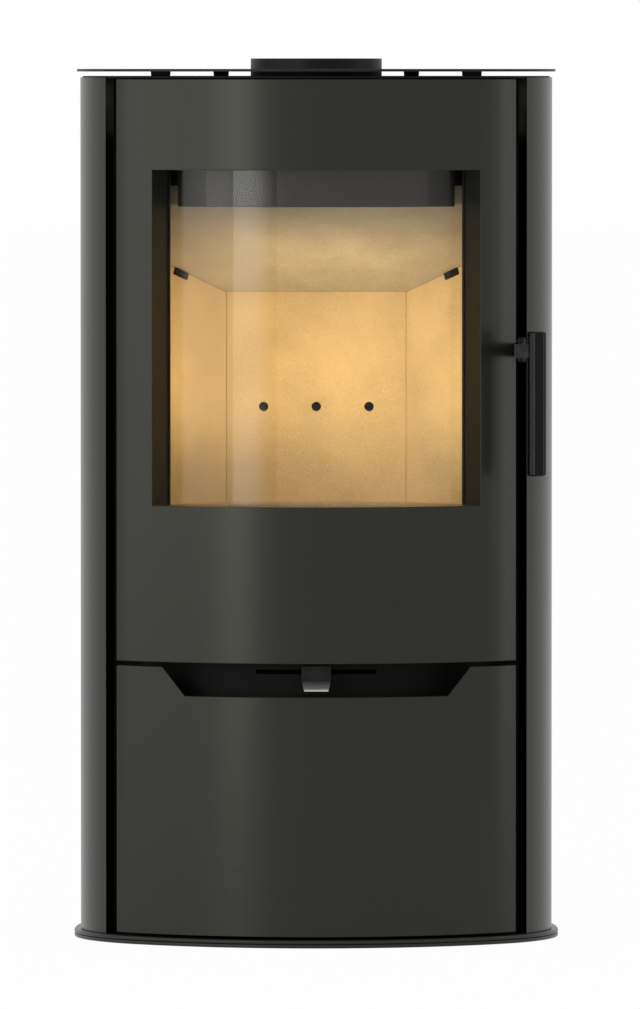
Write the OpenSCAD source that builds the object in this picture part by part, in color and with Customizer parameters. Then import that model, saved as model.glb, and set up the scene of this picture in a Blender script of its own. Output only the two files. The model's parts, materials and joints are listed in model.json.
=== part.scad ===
// Free-standing steel wood stove with a bowed glass door above a bowed drawer.
// Millimetres, +Z up. The front faces -Y. The origin is on the floor, under the flue axis.

/* [Plan] */
// Width across the side panels
body_w = 538; // [520:1:560]
// Depth from the middle of the door to the rear panel
body_d = 425; // [418:1:445]
// Depth from the middle of the door to the widest line of the plan
bow_d = 192; // [188:1:196]
// Radius of the plan at each side, ahead of the widest line
side_r = 155; // [150:1:160]
// Radius of the side panels behind the widest line
rear_r = 500; // [460:10:700]
// Depth from the middle of the door to the flue axis
flue_set = 235; // [225:1:245]

/* [Heights] */
// Thickness of each of the two plinth plates
plinth_t = 4.5; // [4:0.5:6]
// Gap between the plinth and the drawer front
drawer_gap = 3; // [2:0.5:4]
// Height of the drawer front
drawer_h = 303; // [295:1:320]
// Gap between the drawer front and the door
door_gap = 5.4; // [4.5:0.1:7]
// Height of the door
door_h = 658; // [640:1:680]
// Gap between the door and the casing top
head_gap = 1.1; // [1:0.1:2]
// Thickness of the casing top
casing_top_t = 2.5; // [2:0.5:3]
// Height of the warm-air gap under the top plate
vent_gap = 5; // [4:0.5:8]
// Thickness of the top plate
top_t = 3; // [3:0.5:6]
// Height of the flue collar above the top plate
collar_rise = 12; // [8:1:30]

/* [Casing] */
// How far the plinth stands out from the casing
plinth_lip = 7.5; // [5:0.5:10]
// How far the top plate stands out from the casing
top_lip = 3.8; // [2:0.2:6]
// Thickness of the side panels
panel_t = 2.5; // [2:0.5:3]
// Width of the flange at the rear of each side panel
panel_flange = 18; // [14:1:22]
// How far the side panels rise past the underside of the casing top
panel_rise = 1; // [0.5:0.1:2]
// Thickness of the rear panel, the shields and the drawer box
sheet_t = 1.5; // [1:0.5:2]
// Dark gap between the door's edge and each side panel
side_gap = 12.5; // [12:0.5:14]
// Width of each front post
post_w = 30; // [26:1:32]
// Depth of each front post
post_d = 22; // [18:1:26]
// Distance from the door's edge back to the front posts
post_set = 50; // [48:1:54]
// Wall of the front posts
post_t = 2; // [2:0.5:3]
// Diameter of the heads of the casing screws
screw_head = 9; // [7:0.5:10]
// Height of the heads of the casing screws
screw_rise = 2.2; // [1.5:0.1:3]
// Outer foot of each top spacer
spacer_w = 22.5; // [20:0.5:30]
// Depth of each top spacer
spacer_d = 22; // [16:1:30]

/* [Flue and air] */
// Outer diameter of the flue collar
collar_d = 150; // [120:5:150]
// Wall of the flue collar
collar_t = 2; // [2:0.5:4]
// Width of the collar's flange on the firebox roof
collar_flange = 18; // [12:1:22]
// Space between the collar and the top plate, for the flue pipe's wall
collar_play = 4; // [3:0.5:5]
// Height of the rear flue outlet above the hearth
outlet_lift = 330; // [325:1:335]
// Outer diameter of the fresh-air spigot
air_d = 80; // [70:5:80]
// Length of the spigot behind the rear panel
air_out = 25; // [15:1:40]
// Width of the air box under the firebox
air_box_w = 340; // [336:2:360]
// Width of the air inlet in the air box's floor
inlet_w = 80; // [70:2:84]
// Depth of the air inlet
inlet_d = 30; // [24:1:34]
// Travel of the air lever to each side
lever_travel = 55; // [45:1:60]
// Width of the lever's finger plate
lever_head_w = 33; // [28:1:36]
// Height of the lever's finger plate
lever_head_h = 17; // [14:1:17]

/* [Firebox] */
// Thickness of the firebox steel
firebox_t = 4; // [3:0.5:5]
// Space between the firebox and the rear panel
rear_void = 38; // [36:1:42]
// Space between the firebox roof and the casing top
head_room = 34.5; // [30:0.5:40]
// Height of the hearth above the door's lower edge
hearth_lift = 169.6; // [165:0.1:172]
// Inner width of the fire chamber
chamber_w = 336; // [330:1:338]
// Width of the flat middle of the back lining
back_w = 206.8; // [196:0.1:214]
// Thickness of the lining boards
liner_t = 28; // [25:0.5:30]
// Thickness of the hearth bricks
brick_t = 30; // [25:1:32]
// Height of the ash compartment
ash_h = 53; // [50:1:56]
// Height of the baffle's rear edge above the hearth
baffle_lift = 243; // [236:1:248]
// Slope of the baffle
baffle_slope = 26; // [24:0.5:27]
// Thickness of the baffle
baffle_t = 25; // [20:1:26]
// Reach of the baffle ahead of the back lining
baffle_reach = 210; // [200:1:214]
// Diameter of the air holes in the back lining
air_hole_d = 11; // [8:0.5:14]
// Spacing of the air holes
air_hole_pitch = 61; // [50:1:66]
// Height of the air holes above the hearth
air_hole_lift = 110; // [100:1:118]
// Width of the grate
grate_w = 200; // [180:2:220]
// Depth of the grate
grate_d = 150; // [140:2:160]
// Width of each grate slot
grate_slot = 9; // [7:0.5:10]

/* [Door] */
// Width of the door and of the drawer front
door_w = 452; // [448:1:456]
// Thickness of the door's and the drawer's outer sheet
skin_t = 3; // [2:0.5:3]
// Depth from the outer sheet's face to the inner frame
reveal_d = 30; // [28:1:32]
// Thickness of the inner frame
inner_t = 3; // [2:0.5:4]
// Width of the window's cut-out, measured across the bow
window_w = 371; // [350:1:373]
// Height of the window's cut-out
window_h = 379; // [360:1:382]
// Height of the window's sill above the hearth
sill_lift = 7; // [5:1:10]
// Thickness of the glass
glass_t = 4; // [4:0.5:5]
// How far the glass runs behind the inner frame
glass_lap = 12; // [9:0.5:12]
// Thickness of the flat seal at the glass
flat_seal_t = 1.5; // [1:0.5:2]
// Diameter of the door's rope seal
rope_d = 10; // [9:0.5:11]
// Distance of the rope seal outside the window's edge
rope_out = 27; // [26:0.5:28]
// Radius of the hinge pins
hinge_pin_r = 4; // [3:0.5:4.5]
// Play of the hinge pins in the door's lugs
pin_play = 0.05; // [0.02:0.01:0.1]
// Height of the lower hinge above the door's lower edge
hinge_low = 80; // [60:1:100]
// Drop of the upper hinge below the door's upper edge
hinge_high = 78; // [60:1:100]

/* [Handle] */
// Height of the handle's arm above the door's lower edge
handle_lift = 351.8; // [300:0.1:400]
// Height of the handle's arm
arm_h = 15.5; // [14:0.5:20]
// Thickness of the arm where it passes beside the door
arm_t = 5; // [4:0.5:5]
// How far the grip stands ahead of the door's edge
grip_set = 48; // [42:1:56]
// Diameter of the grip
grip_d = 22.2; // [18:0.1:24]
// Length of the grip
grip_len = 163; // [140:1:190]
// How far the grip rises above the arm
grip_over = 14; // [8:1:24]

/* [Drawer] */
// Width of the finger recess along the drawer's top edge
notch_top_w = 350; // [330:1:360]
// Width of the finger recess at its bottom
notch_low_w = 297; // [270:1:310]
// Depth of the finger recess
notch_h = 32.4; // [26:0.1:36]
// Height of the drawer box
tray_h = 245; // [200:1:248]
// Gap between the drawer box and the plinth
tray_gap = 11; // [8:1:14]
// Length of the drawer's runners
runner_len = 250; // [230:1:252]
// Height of the drawer's runners
runner_h = 45; // [40:1:50]
// Width from the bay's side to the drawer box
runner_w = 13; // [12.7:0.1:14]
// Sheet of the runners
runner_t = 1.5; // [1.2:0.1:1.6]
// Height of the runners' middle line above the plinth
runner_lift = 61; // [45:1:120]

/* [Hidden] */
$fn = 64;

// Fineness of the long arcs and of the fine round parts
arc_fn = 240;
pin_fn = 48;
// Longer than anything on the stove
far = 2000;
// Gap left between pieces that slide or turn past each other
slide_gap = 0.3;

// Plan: the middle of the bow, the arcs at the sides and the lines along Y
half_w = body_w / 2;
front_r = (half_w * half_w + bow_d * bow_d - 2 * half_w * side_r) / (2 * (bow_d - side_r));
y_front = -flue_set;
y_wide = y_front + bow_d;
y_rear = y_front + body_d;
bow_y = y_front + front_r;
side_x = half_w - side_r;
bow_phi = atan2(side_x, front_r - bow_d);
y_inner = y_rear - sheet_t - panel_t;
door_x = door_w / 2;
panel_x = door_x + side_gap;

// Heights
z_plinth = 2 * plinth_t;
z_drawer = z_plinth + drawer_gap;
z_drawer_top = z_drawer + drawer_h;
z_door = z_drawer_top + door_gap;
z_door_top = z_door + door_h;
z_head = z_door_top + head_gap;
z_cover = z_head + casing_top_t;
z_top = z_cover + vent_gap;
z_top_face = z_top + top_t;
z_collar = z_top_face + collar_rise;
z_hearth = z_door + hearth_lift;
floor_t = 3;
z_bricks = z_hearth - brick_t;
z_floor = z_bricks - floor_t;
z_ash = z_floor - ash_h;
z_firebox = z_ash - firebox_t;
z_roof = z_head - head_room;
z_sill = z_hearth + sill_lift;
z_lintel = z_sill + window_h;
z_notch = z_drawer_top - notch_h;

// Radii of the bowed layers, from the door's face inwards
r_skin = front_r - skin_t;
r_frame = front_r - reveal_d;
r_frame_in = r_frame - inner_t;
r_glass = r_frame_in - flat_seal_t;
r_glass_in = r_glass - glass_t;
r_face = r_frame_in - rope_d - slide_gap;
r_chamber = r_face - firebox_t;

// Half angles of the bowed layers, seen from the middle of the bow
window_phi = asin(window_w / 2 / front_r);
glass_phi = window_phi + arc_angle(glass_lap, r_glass);
rope_r = r_frame_in - rope_d / 2;
rope_phi = window_phi + arc_angle(rope_out, rope_r);
frame_phi = rope_phi + arc_angle(rope_d, r_frame);

// Firebox, from the rear panel forwards and from the middle outwards
y_firebox = y_rear - rear_void;
y_liner = y_firebox - firebox_t;
y_chamber = y_liner - liner_t;
chamber_x = chamber_w / 2;
liner_x = chamber_x + liner_t;
firebox_x = liner_x + firebox_t;
corner_run = chamber_x - back_w / 2;
z_baffle = z_hearth + baffle_lift;
mitre = liner_t * tan(22.5);

// Opening in the firebox front, and the hearth's grate
open_lift = 2;
open_top = 6;
open_phi = asin((chamber_x - 1.5) / r_face);
ash_open_w = 240;
ash_open_edge = 4;
grate_y = -10;
grate_ledge = 10;
grate_t = 18;
grate_play = 2;
grate_bar = 8;

// Baffles and air wash
upper_lift = 394;
upper_t = 3;
rail_w = 12;
wash_t = 2;
wash_in = 6;
wash_gap = 14;
wash_drop = 42;
wash_rise = (z_roof - firebox_t - z_lintel) / 3;
wash_w = 254;
wash_phi = asin((chamber_x - 1.5) / r_chamber);

// Air box, damper and lever
air_box_drop = 9.4;
z_air = z_door - air_box_drop;
damper_t = 3;
z_damper = z_air - slide_gap - damper_t;
damper_y = -75;
damper_edge = 10;
damper_x0 = -lever_travel - inlet_w / 2 - damper_edge;
damper_x1 = inlet_w / 2 + lever_travel + damper_edge;
damper_d = inlet_d + 2 * damper_edge;
rail_t = 2;
lever_w = 20;
z_lever = z_damper + damper_t / 2;
lever_y = y_front + 13;
lever_head_t = 10;
tip_t = 2;
tip_run = 10;
tip_drop = 9.5;
air_y0 = damper_y - damper_d / 2 - 8;
duct_w = 2 * air_hole_pitch + 48;
duct_d = 12;
duct_over = 24;
spigot_rise = 4;
spigot_play = 2;

// Hinge axis: behind the door's left edge, inside the outer sheet
hinge_inset = 7;
hinge_back = 12.4;
hinge_at = [-(door_x - hinge_inset), side_y(door_x - hinge_inset, -hinge_back)];
lug_t = 6;
bracket_t = 5;
lug_r = hinge_pin_r + 3;
bracket_r = hinge_pin_r + 2.5;
pin_head_t = 2;
hinge_z = [z_door + hinge_low, z_door_top - hinge_high];

// Handle pivot: in the gap beside the door's right edge
latch_pin_r = 3;
latch_at = [door_x + 0.44 * side_gap, side_y(door_x) + 8];
latch_lug_t = 4;
latch_lug_r = latch_pin_r + 2.5;
arm_r = latch_pin_r + 2;
z_arm = z_door + handle_lift - arm_h / 2;
tail_len = 30;
tail_r = 5;
roller_r = 6;
roller_pin_r = 2.5;
roller_over = 3;
roller_out = 12.2;
roller_back = 4;
roller_at = [firebox_x + roller_out + roller_r, latch_at.y + tail_len + roller_back];
tail_at = [roller_at.x + roller_r + slide_gap + tail_r, latch_at.y + tail_len];
grip_at = [door_x + 23, side_y(door_x) - grip_set];
arm_block = 16.2;
arm_block_d = 12;

// Front posts, drawer bay and drawer
post_y = side_y(door_x) + post_set;
bay_t = 2;
bay_x = firebox_x - bay_t;
bay_y = bow_y - sqrt(r_chamber * r_chamber - firebox_x * firebox_x) + slide_gap;
tray_x = bay_x - runner_w;
z_tray = z_plinth + tray_gap;
y_tray = y_firebox - 12;
notch_roll = 12;
notch_roll_t = 2;
z_shield = z_notch + 1;
z_runner = z_plinth + runner_lift;
runner_y = bay_y + 3.5;

// Angle that a length takes up along an arc
function arc_angle(len, r) = len / r * 180 / PI;
// Point on a bowed layer of radius r, at an angle from the middle
function bow_at(phi, r) = [r * sin(phi), bow_y - r * cos(phi)];
// Where the outline, moved out by d, crosses a line at x on the side arc
function side_y(x, d = 0) = y_wide - sqrt(pow(side_r + d, 2) - pow(x - side_x, 2));

// ---- Shared shapes ----

// Outline of the casing, moved out by d and ending at the line y = rear
module plan(d = 0, rear = y_rear) {
    intersection() {
        bow_disc(front_r + d);
        bow_sector(bow_phi);
    }
    for (side = [-1, 1])
        translate([side * side_x, y_wide])
            circle(side_r + d, $fn = arc_fn);
    intersection() {
        rear_disc(1, d);
        rear_disc(-1, d);
        translate([-far, y_wide])
            square([2 * far, rear - y_wide]);
    }
}

module rear_disc(side, d) {
    translate([side * (half_w - rear_r), y_wide])
        circle(rear_r + d, $fn = arc_fn);
}

module bow_disc(r) {
    translate([0, bow_y])
        circle(r, $fn = arc_fn);
}

module bow_sector(phi) {
    polygon([[0, bow_y], bow_at(-phi, far), bow_at(phi, far)]);
}

// Part of a bowed layer between two radii, to an angle each side of the middle
module bow_band(r0, r1, phi) {
    intersection() {
        difference() {
            bow_disc(r1);
            bow_disc(r0);
        }
        bow_sector(phi);
    }
}

// Everything within x of the middle
module strip(x) {
    translate([-x, -far])
        square([2 * x, 2 * far]);
}

module slab(z, h) {
    translate([0, 0, z])
        linear_extrude(h)
            children();
}

// Outer sheet of the door and the drawer, without its openings
module bowed_sheet(z, h, d0, d1, x) {
    slab(z, h)
        intersection() {
            difference() {
                plan(d0);
                plan(d1);
            }
            strip(x);
            translate([-far, -far])
                square([2 * far, far + y_wide]);
        }
}

// Round pin or hole along Z
module round_bar(at, z, h, r) {
    translate([at.x, at.y, z])
        cylinder(h = h, r = r, $fn = pin_fn);
}

// ---- Plinth and casing ----

module base_plate() {
    color("#2f2f2d")
        slab(0, plinth_t)
            plan(plinth_lip, y_rear + plinth_lip);
}

module plinth_plate() {
    color("#363634")
        slab(plinth_t, plinth_t)
            plan(plinth_lip, y_rear + plinth_lip);
}

module side_panel() {
    slab(z_plinth, z_head + panel_rise - z_plinth) {
        difference() {
            plan(0, far);
            plan(-panel_t, 2 * far);
            translate([-far, -far])
                square([far + panel_x, far + y_wide]);
            translate([-far, -far])
                square([far, 2 * far]);
            translate([-far, y_rear - sheet_t])
                square([2 * far, far]);
        }
        intersection() {
            plan(0, y_rear - sheet_t);
            translate([rear_x() - panel_flange, y_rear - sheet_t - panel_t])
                square([panel_flange + panel_t, panel_t]);
        }
    }
}

// Half width of the casing at the rear panel
function rear_x() = half_w - rear_r + sqrt(rear_r * rear_r - pow(y_rear - y_wide, 2));

module side_panel_right() {
    color("#4b4a47") side_panel();
}

module side_panel_left() {
    color("#4b4a47") mirror([1, 0, 0]) side_panel();
}

// Rear sheet with vent slots and openings for the rear outlet and the air spigot
module rear_panel() {
    slot_w = 46;
    slot_h = 5;
    slot_pitch = 10;
    column_pitch = 74;
    low_lift = 40;
    high_drop = 26;
    color("#3a3a38")
        difference() {
            slab(z_plinth, z_head + panel_rise - z_plinth)
                intersection() {
                    plan(0);
                    translate([-far, y_rear - sheet_t])
                        square([2 * far, sheet_t]);
                }
            for (row = [0:5])
                for (column = [-2:2])
                    for (z = [z_plinth + low_lift, z_roof - high_drop])
                        vent_slot(column * column_pitch, z + row * slot_pitch, slot_w, slot_h);
            rear_hole(z_hearth + outlet_lift, collar_d / 2 + collar_play);
            rear_hole(air_z(), air_d / 2 + collar_play);
        }
}

function air_z() = z_air + sheet_t + air_d / 2 + spigot_rise;

module vent_slot(x, z, w, h) {
    translate([x, y_rear + 1, z])
        rotate([90, 0, 0])
            linear_extrude(sheet_t + 2) {
                square([w - h, h], center = true);
                for (end = [-1, 1])
                    translate([end * (w - h) / 2, 0])
                        circle(h / 2, $fn = 24);
            }
}

module rear_hole(z, r) {
    translate([0, y_rear + 1, z])
        rotate([90, 0, 0])
            cylinder(h = rear_void + 2 * firebox_t, r = r, $fn = arc_fn);
}

// Button-head screws that hold the rear panel to the side panels' flanges
module rear_screws() {
    x = rear_x() - panel_flange / 2;
    end_gap = 60;
    count = 4;
    pitch = (z_head - z_plinth - 2 * end_gap) / (count - 1);
    color("#8b8b88")
        for (side = [-1, 1])
            for (i = [0:count - 1])
                translate([side * x, y_rear, z_plinth + end_gap + i * pitch])
                    rotate([-90, 0, 0])
                        button_head(screw_head, screw_rise);
}

// Low domed screw head with a blind hexagon socket
module button_head(d, h) {
    difference() {
        intersection() {
            cylinder(h = h, r = d / 2, $fn = 32);
            translate([0, 0, h - d])
                sphere(d, $fn = 64);
        }
        translate([0, 0, h / 2])
            cylinder(h = h, r = d / 4, $fn = 6);
    }
}

module front_post() {
    slab(z_plinth, z_head - z_plinth)
        difference() {
            translate([firebox_x, post_y])
                square([post_w, post_d]);
            translate([firebox_x + post_t, post_y + post_t])
                square([post_w - 2 * post_t, post_d]);
        }
}

module front_post_right() {
    color("#1c1c1b") front_post();
}

module front_post_left() {
    color("#1c1c1b") mirror([1, 0, 0]) front_post();
}

// Upright sheets at each side of the drawer, which carry the firebox
module bay_sides() {
    color("#1f1f1e")
        for (side = [0, 1])
            mirror([side, 0, 0])
                translate([bay_x, bay_y, z_plinth])
                    cube([bay_t, y_inner - bay_y, z_firebox - z_plinth]);
}

// Bowed sheet behind the finger recess, with a slot for the air lever
module apron() {
    z0 = z_tray + tray_h + 7;
    slot_x = lever_travel + lever_w / 2 + 3;
    slot_h = damper_t + 2;
    color("#161615")
        difference() {
            slab(z0, z_front() - z0)
                intersection() {
                    bow_band(r_face - bay_t, r_face, 60);
                    strip(firebox_x);
                }
            translate([-slot_x, y_front, z_lever - slot_h / 2])
                cube([2 * slot_x, flue_set, slot_h]);
        }
}

// Lower edge of the firebox front
function z_front() = z_firebox - 14;

module drawer_shield() {
    color("#2b2b2a")
        slab(z_shield, sheet_t)
            intersection() {
                bow_disc(r_face - bay_t);
                strip(bay_x);
                translate([-far, -far])
                    square([2 * far, far + y_inner]);
            }
}

module casing_top() {
    vent_in = 12;
    vent_w = 26;
    color("#141413")
        slab(z_head, casing_top_t)
            difference() {
                plan(-panel_t - slide_gap, y_inner);
                circle(collar_d / 2 + collar_play, $fn = arc_fn);
                intersection() {
                    difference() {
                        plan(-vent_in);
                        plan(-vent_in - vent_w);
                    }
                    translate([-far, post_y + post_d + vent_in])
                        square([2 * far, y_rear - post_y - post_d - 3 * vent_in - vent_w]);
                }
            }
}

// Four tapered blocks that hold the top plate off the casing top
module top_spacers() {
    taper = 0.5;
    rear_w = 0.8 * spacer_w;
    front_x = 176;
    front_in = 40;
    rear_at = 110;
    rear_in = 45;
    color("#1a1a19")
        for (side = [-1, 1]) {
            spacer(side * front_x, side_y(front_x) + front_in, spacer_w, taper);
            spacer(side * rear_at, y_rear - rear_in, rear_w, taper);
        }
}

module spacer(x, y, w, taper) {
    translate([x, y + spacer_d / 2, z_cover])
        rotate([90, 0, 0])
            linear_extrude(spacer_d)
                polygon([[-w / 2 + taper, 0], [w / 2 - taper, 0], [w / 2, vent_gap], [-w / 2, vent_gap]]);
}

module top_plate() {
    color("#3c3b39")
        slab(z_top, top_t)
            difference() {
                plan(top_lip);
                circle(collar_d / 2 + collar_play, $fn = arc_fn);
            }
}

// Flanged collar on the firebox roof
module flue_collar() {
    r = collar_d / 2;
    flange_t = 3;
    color("#4a4947")
        translate([0, 0, z_roof])
            rotate_extrude($fn = arc_fn)
                polygon([
                    [r - collar_t, 0], [r + collar_flange, 0], [r + collar_flange, flange_t],
                    [r, flange_t], [r, z_collar - z_roof], [r - collar_t, z_collar - z_roof]
                ]);
}

// ---- Firebox ----

// Plan of the firebox, drawn in by d on its flat sides and to radius r at the bow
module firebox_plan(d, r) {
    intersection() {
        bow_disc(r);
        strip(firebox_x - d);
        translate([-far, -far])
            square([2 * far, far + y_firebox - d]);
    }
}

// Welded sheet box, open at the bow
module firebox_shell() {
    color("#232322")
        difference() {
            slab(z_firebox, z_roof - z_firebox)
                firebox_plan(0, r_chamber);
            slab(z_ash, z_roof - firebox_t - z_ash)
                firebox_plan(firebox_t, far);
            round_bar([0, 0], z_roof - 2 * firebox_t, 3 * firebox_t, collar_d / 2 - collar_t);
            rear_hole(z_hearth + outlet_lift, collar_d / 2 - collar_t);
            air_holes();
            slab(z_firebox - 1, firebox_t + 2)
                translate([-inlet_w / 2, air_y0 + 20])
                    square([inlet_w, 2 * inlet_d]);
        }
}

// Three air holes through the back lining and the firebox
module air_holes() {
    for (i = [-1:1])
        translate([i * air_hole_pitch, y_firebox + 1, z_hearth + air_hole_lift])
            rotate([90, 0, 0])
                cylinder(h = liner_t + firebox_t + 2, r = air_hole_d / 2, $fn = pin_fn);
}

// Bowed front of the firebox, with the chamber's and the ash pan's openings
module firebox_front() {
    color("#1e1e1d")
        difference() {
            slab(z_front(), z_roof - z_front())
                intersection() {
                    bow_band(r_chamber, r_face, 60);
                    strip(firebox_x);
                }
            slab(z_hearth + open_lift, z_lintel + open_top - z_hearth - open_lift)
                bow_sector(open_phi);
            slab(z_ash + ash_open_edge, ash_h - 2 * ash_open_edge)
                intersection() {
                    bow_sector(open_phi);
                    strip(ash_open_w / 2);
                }
        }
}

// Disc and clamping bolt that close the rear outlet
module outlet_blank() {
    color("#2c2c2b")
        translate([0, y_firebox, z_hearth + outlet_lift])
            rotate([-90, 0, 0]) {
                cylinder(h = firebox_t, r = collar_d / 2 + 8, $fn = arc_fn);
                cylinder(h = 2.5 * firebox_t, r = 8, $fn = 6);
            }
}

// Plain round cover over the outlet's hole in the rear panel
module outlet_cover() {
    dish = 3;
    r = collar_d / 2 + 14;
    color("#3a3a38")
        translate([0, y_rear, z_hearth + outlet_lift])
            rotate([-90, 0, 0])
                rotate_extrude($fn = arc_fn)
                    polygon([[0, dish - sheet_t], [r - 12, dish - sheet_t], [r - 9, 0], [r, 0],
                             [r, sheet_t], [r - 8, sheet_t], [r - 11, dish], [0, dish]]);
}

module rear_shield() {
    side_in = 8;
    below = 80;
    outlet_gap = 20;
    color("#5a5a57")
        translate([-firebox_x + side_in, y_firebox + duct_d, z_hearth - below])
            cube([
                2 * (firebox_x - side_in), sheet_t, below + outlet_lift - collar_d / 2 - outlet_gap
            ]);
}

// Flat duct up the outside of the firebox's back, to the three air holes
module air_duct() {
    z0 = z_air + sheet_t;
    z1 = z_hearth + air_hole_lift + duct_over;
    color("#2a2a29")
        difference() {
            translate([-duct_w / 2, y_firebox, z0])
                cube([duct_w, duct_d, z1 - z0]);
            translate([-duct_w / 2 + sheet_t, y_firebox - 1, z0 + sheet_t])
                cube([duct_w - 2 * sheet_t, duct_d + 1 - sheet_t, z1 - z0 - 2 * sheet_t]);
            translate([0, y_rear, air_z()])
                rotate([90, 0, 0])
                    cylinder(h = rear_void + 1, r = air_d / 2 + spigot_play, $fn = arc_fn);
        }
}

// Sheet box under the firebox, which shares out the air
module air_box() {
    x = air_box_w / 2;
    port = [24, 20, 40];
    port_in = 7.5;
    port_at = duct_w / 2 - sheet_t - port_in - port.x / 2;
    color("#2a2a29")
        difference() {
            translate([-x, air_y0, z_air])
                cube([2 * x, y_firebox - air_y0, z_firebox - z_air]);
            translate([-x + sheet_t, air_y0 + sheet_t, z_air + sheet_t])
                cube([2 * (x - sheet_t), y_firebox - air_y0 - 2 * sheet_t, z_firebox - z_air]);
            translate([-inlet_w / 2, damper_y - inlet_d / 2, z_air - 1])
                cube([inlet_w, inlet_d, sheet_t + 2]);
            translate([0, y_rear, air_z()])
                rotate([90, 0, 0])
                    cylinder(h = 2 * rear_void, r = air_d / 2 - sheet_t, $fn = arc_fn);
            for (side = [-1, 1])
                translate([side * port_at - port.x / 2, y_firebox - port.y / 2, air_z() - port.z / 2])
                    cube(port);
        }
}

// Fresh-air spigot, flanged against the back of the air box
module air_spigot() {
    r = air_d / 2;
    reach = rear_void + air_out;
    color("#3a3a38")
        translate([0, y_firebox, air_z()])
            rotate([-90, 0, 0])
                rotate_extrude($fn = arc_fn)
                    polygon([[r - sheet_t, 0], [r, 0], [r, reach], [r - sheet_t, reach]]);
}

// Angle strips that hold the damper against the air box, open where the lever passes
module damper_rails() {
    x = air_box_w / 2 - 4;
    neck = lever_travel + lever_w / 2 + 5;
    color("#3b3b39") {
        damper_rail(-x, x, 1);
        damper_rail(-x, -neck, -1);
        damper_rail(neck, x, -1);
    }
}

module damper_rail(x0, x1, side) {
    lip = 7;
    translate([x0, damper_y, 0])
        mirror([0, side < 0 ? 1 : 0, 0])
            translate([0, damper_d / 2 + slide_gap, 0])
                rotate([90, 0, 90])
                    linear_extrude(x1 - x0)
                        polygon([
                            [0, z_air], [0, z_damper - slide_gap], [-lip, z_damper - slide_gap],
                            [-lip, z_damper - slide_gap - rail_t], [rail_t, z_damper - slide_gap - rail_t],
                            [rail_t, z_air]
                        ]);
}

// Sliding plate with one window, part way over the inlet at rest
module damper_plate() {
    color("#6b6a66")
        slab(z_damper, damper_t)
            difference() {
                translate([damper_x0 - damper_edge, damper_y - damper_d / 2])
                    square([damper_x1 - damper_x0 + damper_edge, damper_d]);
                translate([-lever_travel - inlet_w / 2, damper_y - inlet_d / 2])
                    square([inlet_w, inlet_d]);
            }
}

// Flat bar from the damper to the finger recess, with an upright finger plate
module air_lever() {
    y1 = damper_y - damper_d / 2;
    color("#20201f") {
        translate([-lever_w / 2, lever_y + lever_head_t, z_damper])
            cube([lever_w, y1 - lever_y - lever_head_t, damper_t]);
        translate([-lever_head_w / 2, lever_y, z_lever - lever_head_h / 2])
            cube([lever_head_w, lever_head_t, lever_head_h]);
    }
}

// Bright lip under the finger plate, sloping forwards and narrowing to its edge
module lever_tip() {
    z1 = z_lever - lever_head_h / 2;
    top_w = lever_head_w - 1;
    low_w = lever_head_w - 6;
    color("#c9c9c6")
        intersection() {
            translate([-top_w / 2, 0, 0])
                rotate([90, 0, 90])
                    linear_extrude(top_w)
                        polygon([
                            [lever_y + lever_head_t, z1], [lever_y, z1], [lever_y - tip_run, z1 - tip_drop],
                            [lever_y - tip_run, z1 - tip_drop - tip_t], [lever_y, z1 - tip_t],
                            [lever_y + lever_head_t, z1 - tip_t]
                        ]);
            translate([0, lever_y + 2 * lever_head_t, 0])
                rotate([90, 0, 0])
                    linear_extrude(4 * lever_head_t)
                        polygon([
                            [-top_w / 2, z1], [top_w / 2, z1], [top_w / 2, z1 - tip_t],
                            [low_w / 2, z1 - tip_drop - tip_t], [-low_w / 2, z1 - tip_drop - tip_t],
                            [-top_w / 2, z1 - tip_t]
                        ]);
        }
}

// ---- Fire chamber ----

// Plan of the space inside the lining
module chamber_plan() {
    x = back_w / 2;
    polygon([
        [-x, y_chamber], [x, y_chamber], [chamber_x, y_chamber - corner_run], [chamber_x, -far],
        [-chamber_x, -far], [-chamber_x, y_chamber - corner_run]
    ]);
}

module floor_plate() {
    color("#2b2b2a")
        slab(z_floor, floor_t)
            difference() {
                firebox_plan(firebox_t, r_chamber);
                translate([0, grate_y])
                    square([grate_w - 2 * grate_ledge, grate_d - 2 * grate_ledge], center = true);
            }
}

// Two hearth bricks, left and right, around the grate
module floor_bricks() {
    joint = 0.5;
    color("#b59a72")
        slab(z_bricks, brick_t)
            difference() {
                intersection() {
                    chamber_plan();
                    bow_disc(r_chamber - 1);
                }
                translate([0, grate_y])
                    square([grate_w + grate_play, grate_d + grate_play], center = true);
                strip(joint / 2);
            }
}

module grate() {
    rim = 14;
    pitch = grate_slot + grate_bar;
    slots = floor((grate_w - 2 * rim + grate_bar) / pitch);
    color("#2a2928")
        slab(z_bricks, grate_t)
            translate([0, grate_y])
                difference() {
                    square([grate_w, grate_d], center = true);
                    for (i = [0:slots - 1])
                        for (half = [-1, 1])
                            translate([(i - (slots - 1) / 2) * pitch, half * grate_d / 4])
                                square([grate_slot, grate_d / 2 - rim], center = true);
                }
}

module ash_pan() {
    x = ash_open_w / 2 - 5;
    y0 = bow_y - sqrt(r_chamber * r_chamber - x * x) + 5;
    depth = y_liner - 40 - y0;
    h = ash_h - 2 * ash_open_edge - 1;
    pull_r = 18;
    wire_r = 2.5;
    color("#4d4c4a") {
        difference() {
            translate([-x, y0, z_ash])
                cube([2 * x, depth, h]);
            translate([-x + sheet_t, y0 + sheet_t, z_ash + sheet_t])
                cube([2 * (x - sheet_t), depth - 2 * sheet_t, h]);
        }
        translate([0, y0 + sheet_t / 2, z_ash + h / 2])
            rotate([0, 0, 180])
                rotate_extrude(angle = 180, $fn = pin_fn)
                    translate([pull_r, 0])
                        circle(wire_r, $fn = 24);
    }
}

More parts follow.
